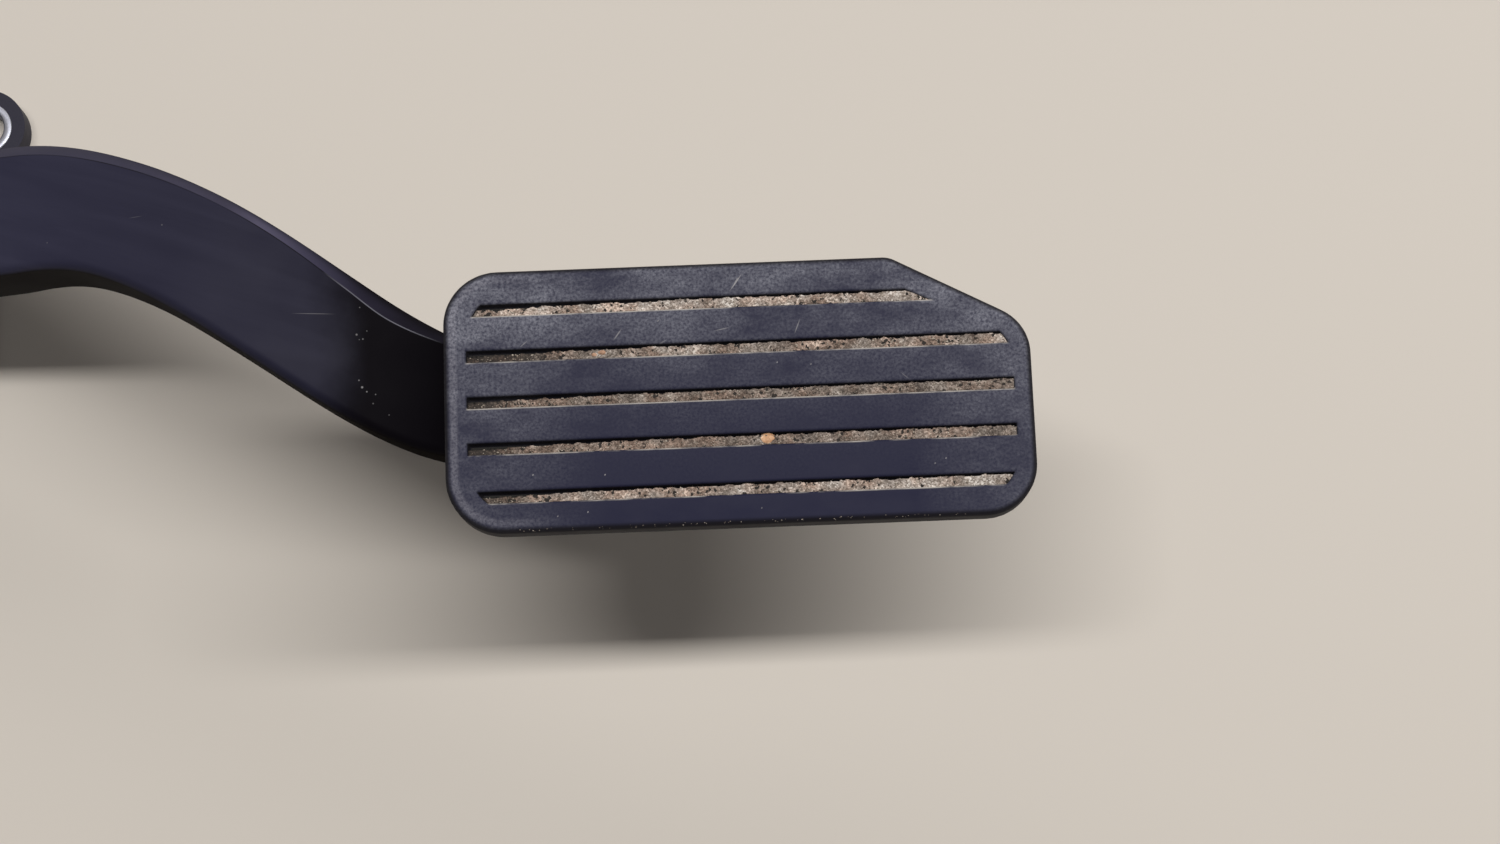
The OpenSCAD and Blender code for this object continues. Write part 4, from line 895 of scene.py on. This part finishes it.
# ---- Thrust block, linings and springs ----
# The arm's nose pushes an acetal block towards the rear. Two linings in its skirts rub on
# the case and give the pedal its feel. Two nested springs of patented wire push it back;
# their end turns lie close and are ground flat.

slide_acetal = moulded("slide_acetal", "cdc9bb", "8f8a80", 0.5, 0.01, 0.36, 0.25)
rounded_copy("thrust_block", slide_acetal, 0.25)
rounded_copy("spring_seat", slide_acetal, 0.3)
# Friction lining: brown resin with fibres, rough.
lining = moulded("resin_bonded_lining", "5c4636", "8f8375", 0.8, 0.05, 0.8, 0.5)
dress(frame["nodes"]["friction_pads"], lining)

spring_start, spring_end, spring_z = -59.5, -7.92, 16.16


def coil(turns, radius, wire, hand):
    """A compression spring along X: its wire's middle runs round the axis while it advances
    slowly in the first and last turn and steadily between; a circle is carried along it."""
    reach = spring_end - spring_start - 2 * wire - 0.3
    close, steps, sides = 2 * wire + 0.6, 36, 14
    n = np.linspace(0, turns, turns * steps + 1)
    along = np.interp(n, [0, 1, turns - 1, turns], [0, close, reach - close, reach])
    turn = 2 * np.pi * hand * n
    line = np.stack([along, radius * np.cos(turn), radius * np.sin(turn)], -1)
    out = line * (0, 1, 1) / radius
    ahead = np.gradient(line, axis=0)
    ahead /= np.linalg.norm(ahead, axis=1)[:, None]
    third = np.cross(ahead, out)
    a = np.linspace(0, 2 * np.pi, sides, endpoint=False)[None, :, None]
    points = line[:, None] + wire * (np.cos(a) * out[:, None] + np.sin(a) * third[:, None])
    return (points.reshape(-1, 3) + (spring_start + wire + 0.15, 0, spring_z),
            grid_faces(len(line), sides, capped=True))


# Oil-hardened wire: dark steel grey, drawn smooth, a film of oil.
spring_wire = plated("oil_hardened_spring_wire", "6f7175", 0.32, 0.2, 0.006, 0.1)
for name, turns, radius, wire, hand in (("return_spring_outer", 9, 8.0, 0.8, 1),
                                        ("return_spring_inner", 12, 4.8, 0.6, -1)):
    spring = piece(name + "_coil", *coil(turns, radius, wire, hand), spring_wire, "housing",
                   "spring_steel", [name])
    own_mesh(spring)


# ---- Bumpers and screws ----
# Two polyurethane bumpers stop the arm: one hangs from the case's roof, the other stands on
# a post in front of the case. Pan-head screws with a cross recess hold cover and cap.

# Polyurethane elastomer: black and dull.
bumper = moulded("polyurethane_bumper", "17171a", "6f6c68", 0.6, 0.02, 0.62)
for node in ("rest_bumper", "stop_bumper"):
    rounded_copy(node, bumper, 0.4)
# Zinc on steel screws: pale grey.
screw_zinc = plated("zinc_plated_screw", "a9adb0", 0.32, 0.2, 0.008, 0.25, "7d7c76")
for node in ("cover_screws", "sensor_cap_screws"):
    rounded_copy(node, screw_zinc, 0.15)


# ---- Sensor ----
# A carrier of acetal on the shaft's end turns two ferrite magnets in front of two Hall chips
# on the board. The cap over them is sealed by a silicone gasket and ends in the connector's
# shroud, where six tinned brass blades stand.

rounded_copy("magnet_carrier", acetal, 0.3)
# Sintered ferrite: charcoal grey, ground, dull.
ferrite = plated("sintered_ferrite", "55585c", 0.55, 0.15, 0.01)
# Glass epoxy under green solder mask.
board = moulded("green_solder_mask", "1d5a3c", "7fa08c", 0.7, 0.01, 0.3, 0.15, coat=0.4)
# Chip epoxy: black and matt.
chip = moulded("black_chip_epoxy", "17181b", "55585c", 0.12, 0.01, 0.55, 0.2)
# Capacitor ceramic: tan.
ceramic = moulded("capacitor_ceramic", "a48a62", "c9b58e", 0.3, 0.005, 0.4, 0.3)
# Tinned brass: pale yellow, smooth.
tinned_brass = plated("tinned_brass", "c9b98a", 0.25, 0.15, 0.004, 0.1, "8d7a4c")
rounded_copy("connector_terminals", tinned_brass, 0.12)
# Silicone rubber: dark grey, dull.
silicone = moulded("grey_silicone", "2f333b", "6d7078", 0.6, 0.01, 0.6, 0.3)
for node, surface in (("magnets", ferrite), ("circuit_board", board), ("hall_sensors", chip),
                      ("board_capacitors", ceramic), ("sensor_gasket", silicone)):
    dress(frame["nodes"][node], surface)
# Polyamide with glass fibre, a little paler than the case's.
cap_nylon = moulded("cap_glass_filled_nylon", "1e1f28", "8f8d92", 0.4, 0.025, 0.45, 0.1,
                    gloss=0.25)
rounded_copy("sensor_cap", cap_nylon, 0.45)


# ---- Floor, light and camera ----
# A plain pale floor under the mounting face, a long narrow soft lamp overhead, a weaker one
# behind the far side, and a camera that looks down on the pad from its lower side.

floor_z = -0.00005
floor_mesh = bpy.data.meshes.new("floor")
floor_mesh.from_pydata([(x, y, floor_z) for x, y in ((-4, -4), (4, -4), (4, 4), (-4, 4))], [],
                       [(0, 1, 2, 3)])
floor = put("floor", floor_mesh)
floor_paint, add, shader, place = new_surface("pale_floor")
feed(shader, {"Base Color": "cfc9c2", "Roughness": 0.75})
dress(floor, floor_paint)

world = bpy.data.worlds.new("room")
bpy.context.scene.world = world
world.use_nodes = True
world.node_tree.nodes.clear()
add = adder(world.node_tree)
seen = add("LightPath").node.outputs
pale = add("Background", ["d8d1c8", 1.0])
fill = add("Background", ["f2f4ff", 0.02])
shown = 0.0
for ray in ("Is Camera Ray", "Is Transmission Ray", "Is Glossy Ray"):
    shown = add("Math", [shown, seen[ray]], operation="MAXIMUM")
both = add("MixShader", [shown, fill, pale])
feed(world.node_tree.nodes.new("ShaderNodeOutputWorld"), [both])

lamps_face = (0.15, -0.03, 0.05)


def lamp(name, towards, distance, length, width, watts, shade):
    """A soft rectangular lamp at a distance from the pad's foot, in the given direction and
    facing back, with its long side along X."""
    light = bpy.data.lights.new(name, "AREA")
    light.shape, light.size, light.size_y, light.energy = "RECTANGLE", length, width, watts
    light.color = linear(shade)[:3]
    away = np.array(towards, float) / np.linalg.norm(towards)
    across = np.array([1.0, 0, 0]) - away[0] * away
    across /= np.linalg.norm(across)
    put(name, light, across, np.cross(away, across), away, lamps_face + away * distance)


lamp("overhead_lamp", (0.2, 0.115, 1), 1.7, 2.0, 0.13, 31.5, "fffcf7")
lamp("far_lamp", (0.1, 1.0, 0.85), 1.8, 1.6, 0.5, 5.5, "fffaf5")

camera = bpy.data.cameras.new("camera")
camera.lens, camera.sensor_width, camera.sensor_fit = 67.2, 36.0, "HORIZONTAL"
camera.clip_start, camera.clip_end = 0.01, 20
tilt, roll = math.radians(12), math.radians(2.2)
ahead = np.array([0, math.sin(tilt), -math.cos(tilt)])
upward = np.array([0, math.cos(tilt), math.sin(tilt)])
sideways = np.array([1.0, 0, 0])
right = sideways * math.cos(roll) - upward * math.sin(roll)
above = sideways * math.sin(roll) + upward * math.cos(roll)
camera_place = (0.2315, -0.1657, 0.6064)
bpy.context.scene.camera = put("camera", camera, right, above, -ahead, camera_place)
bpy.context.scene.view_settings.view_transform = "Standard"
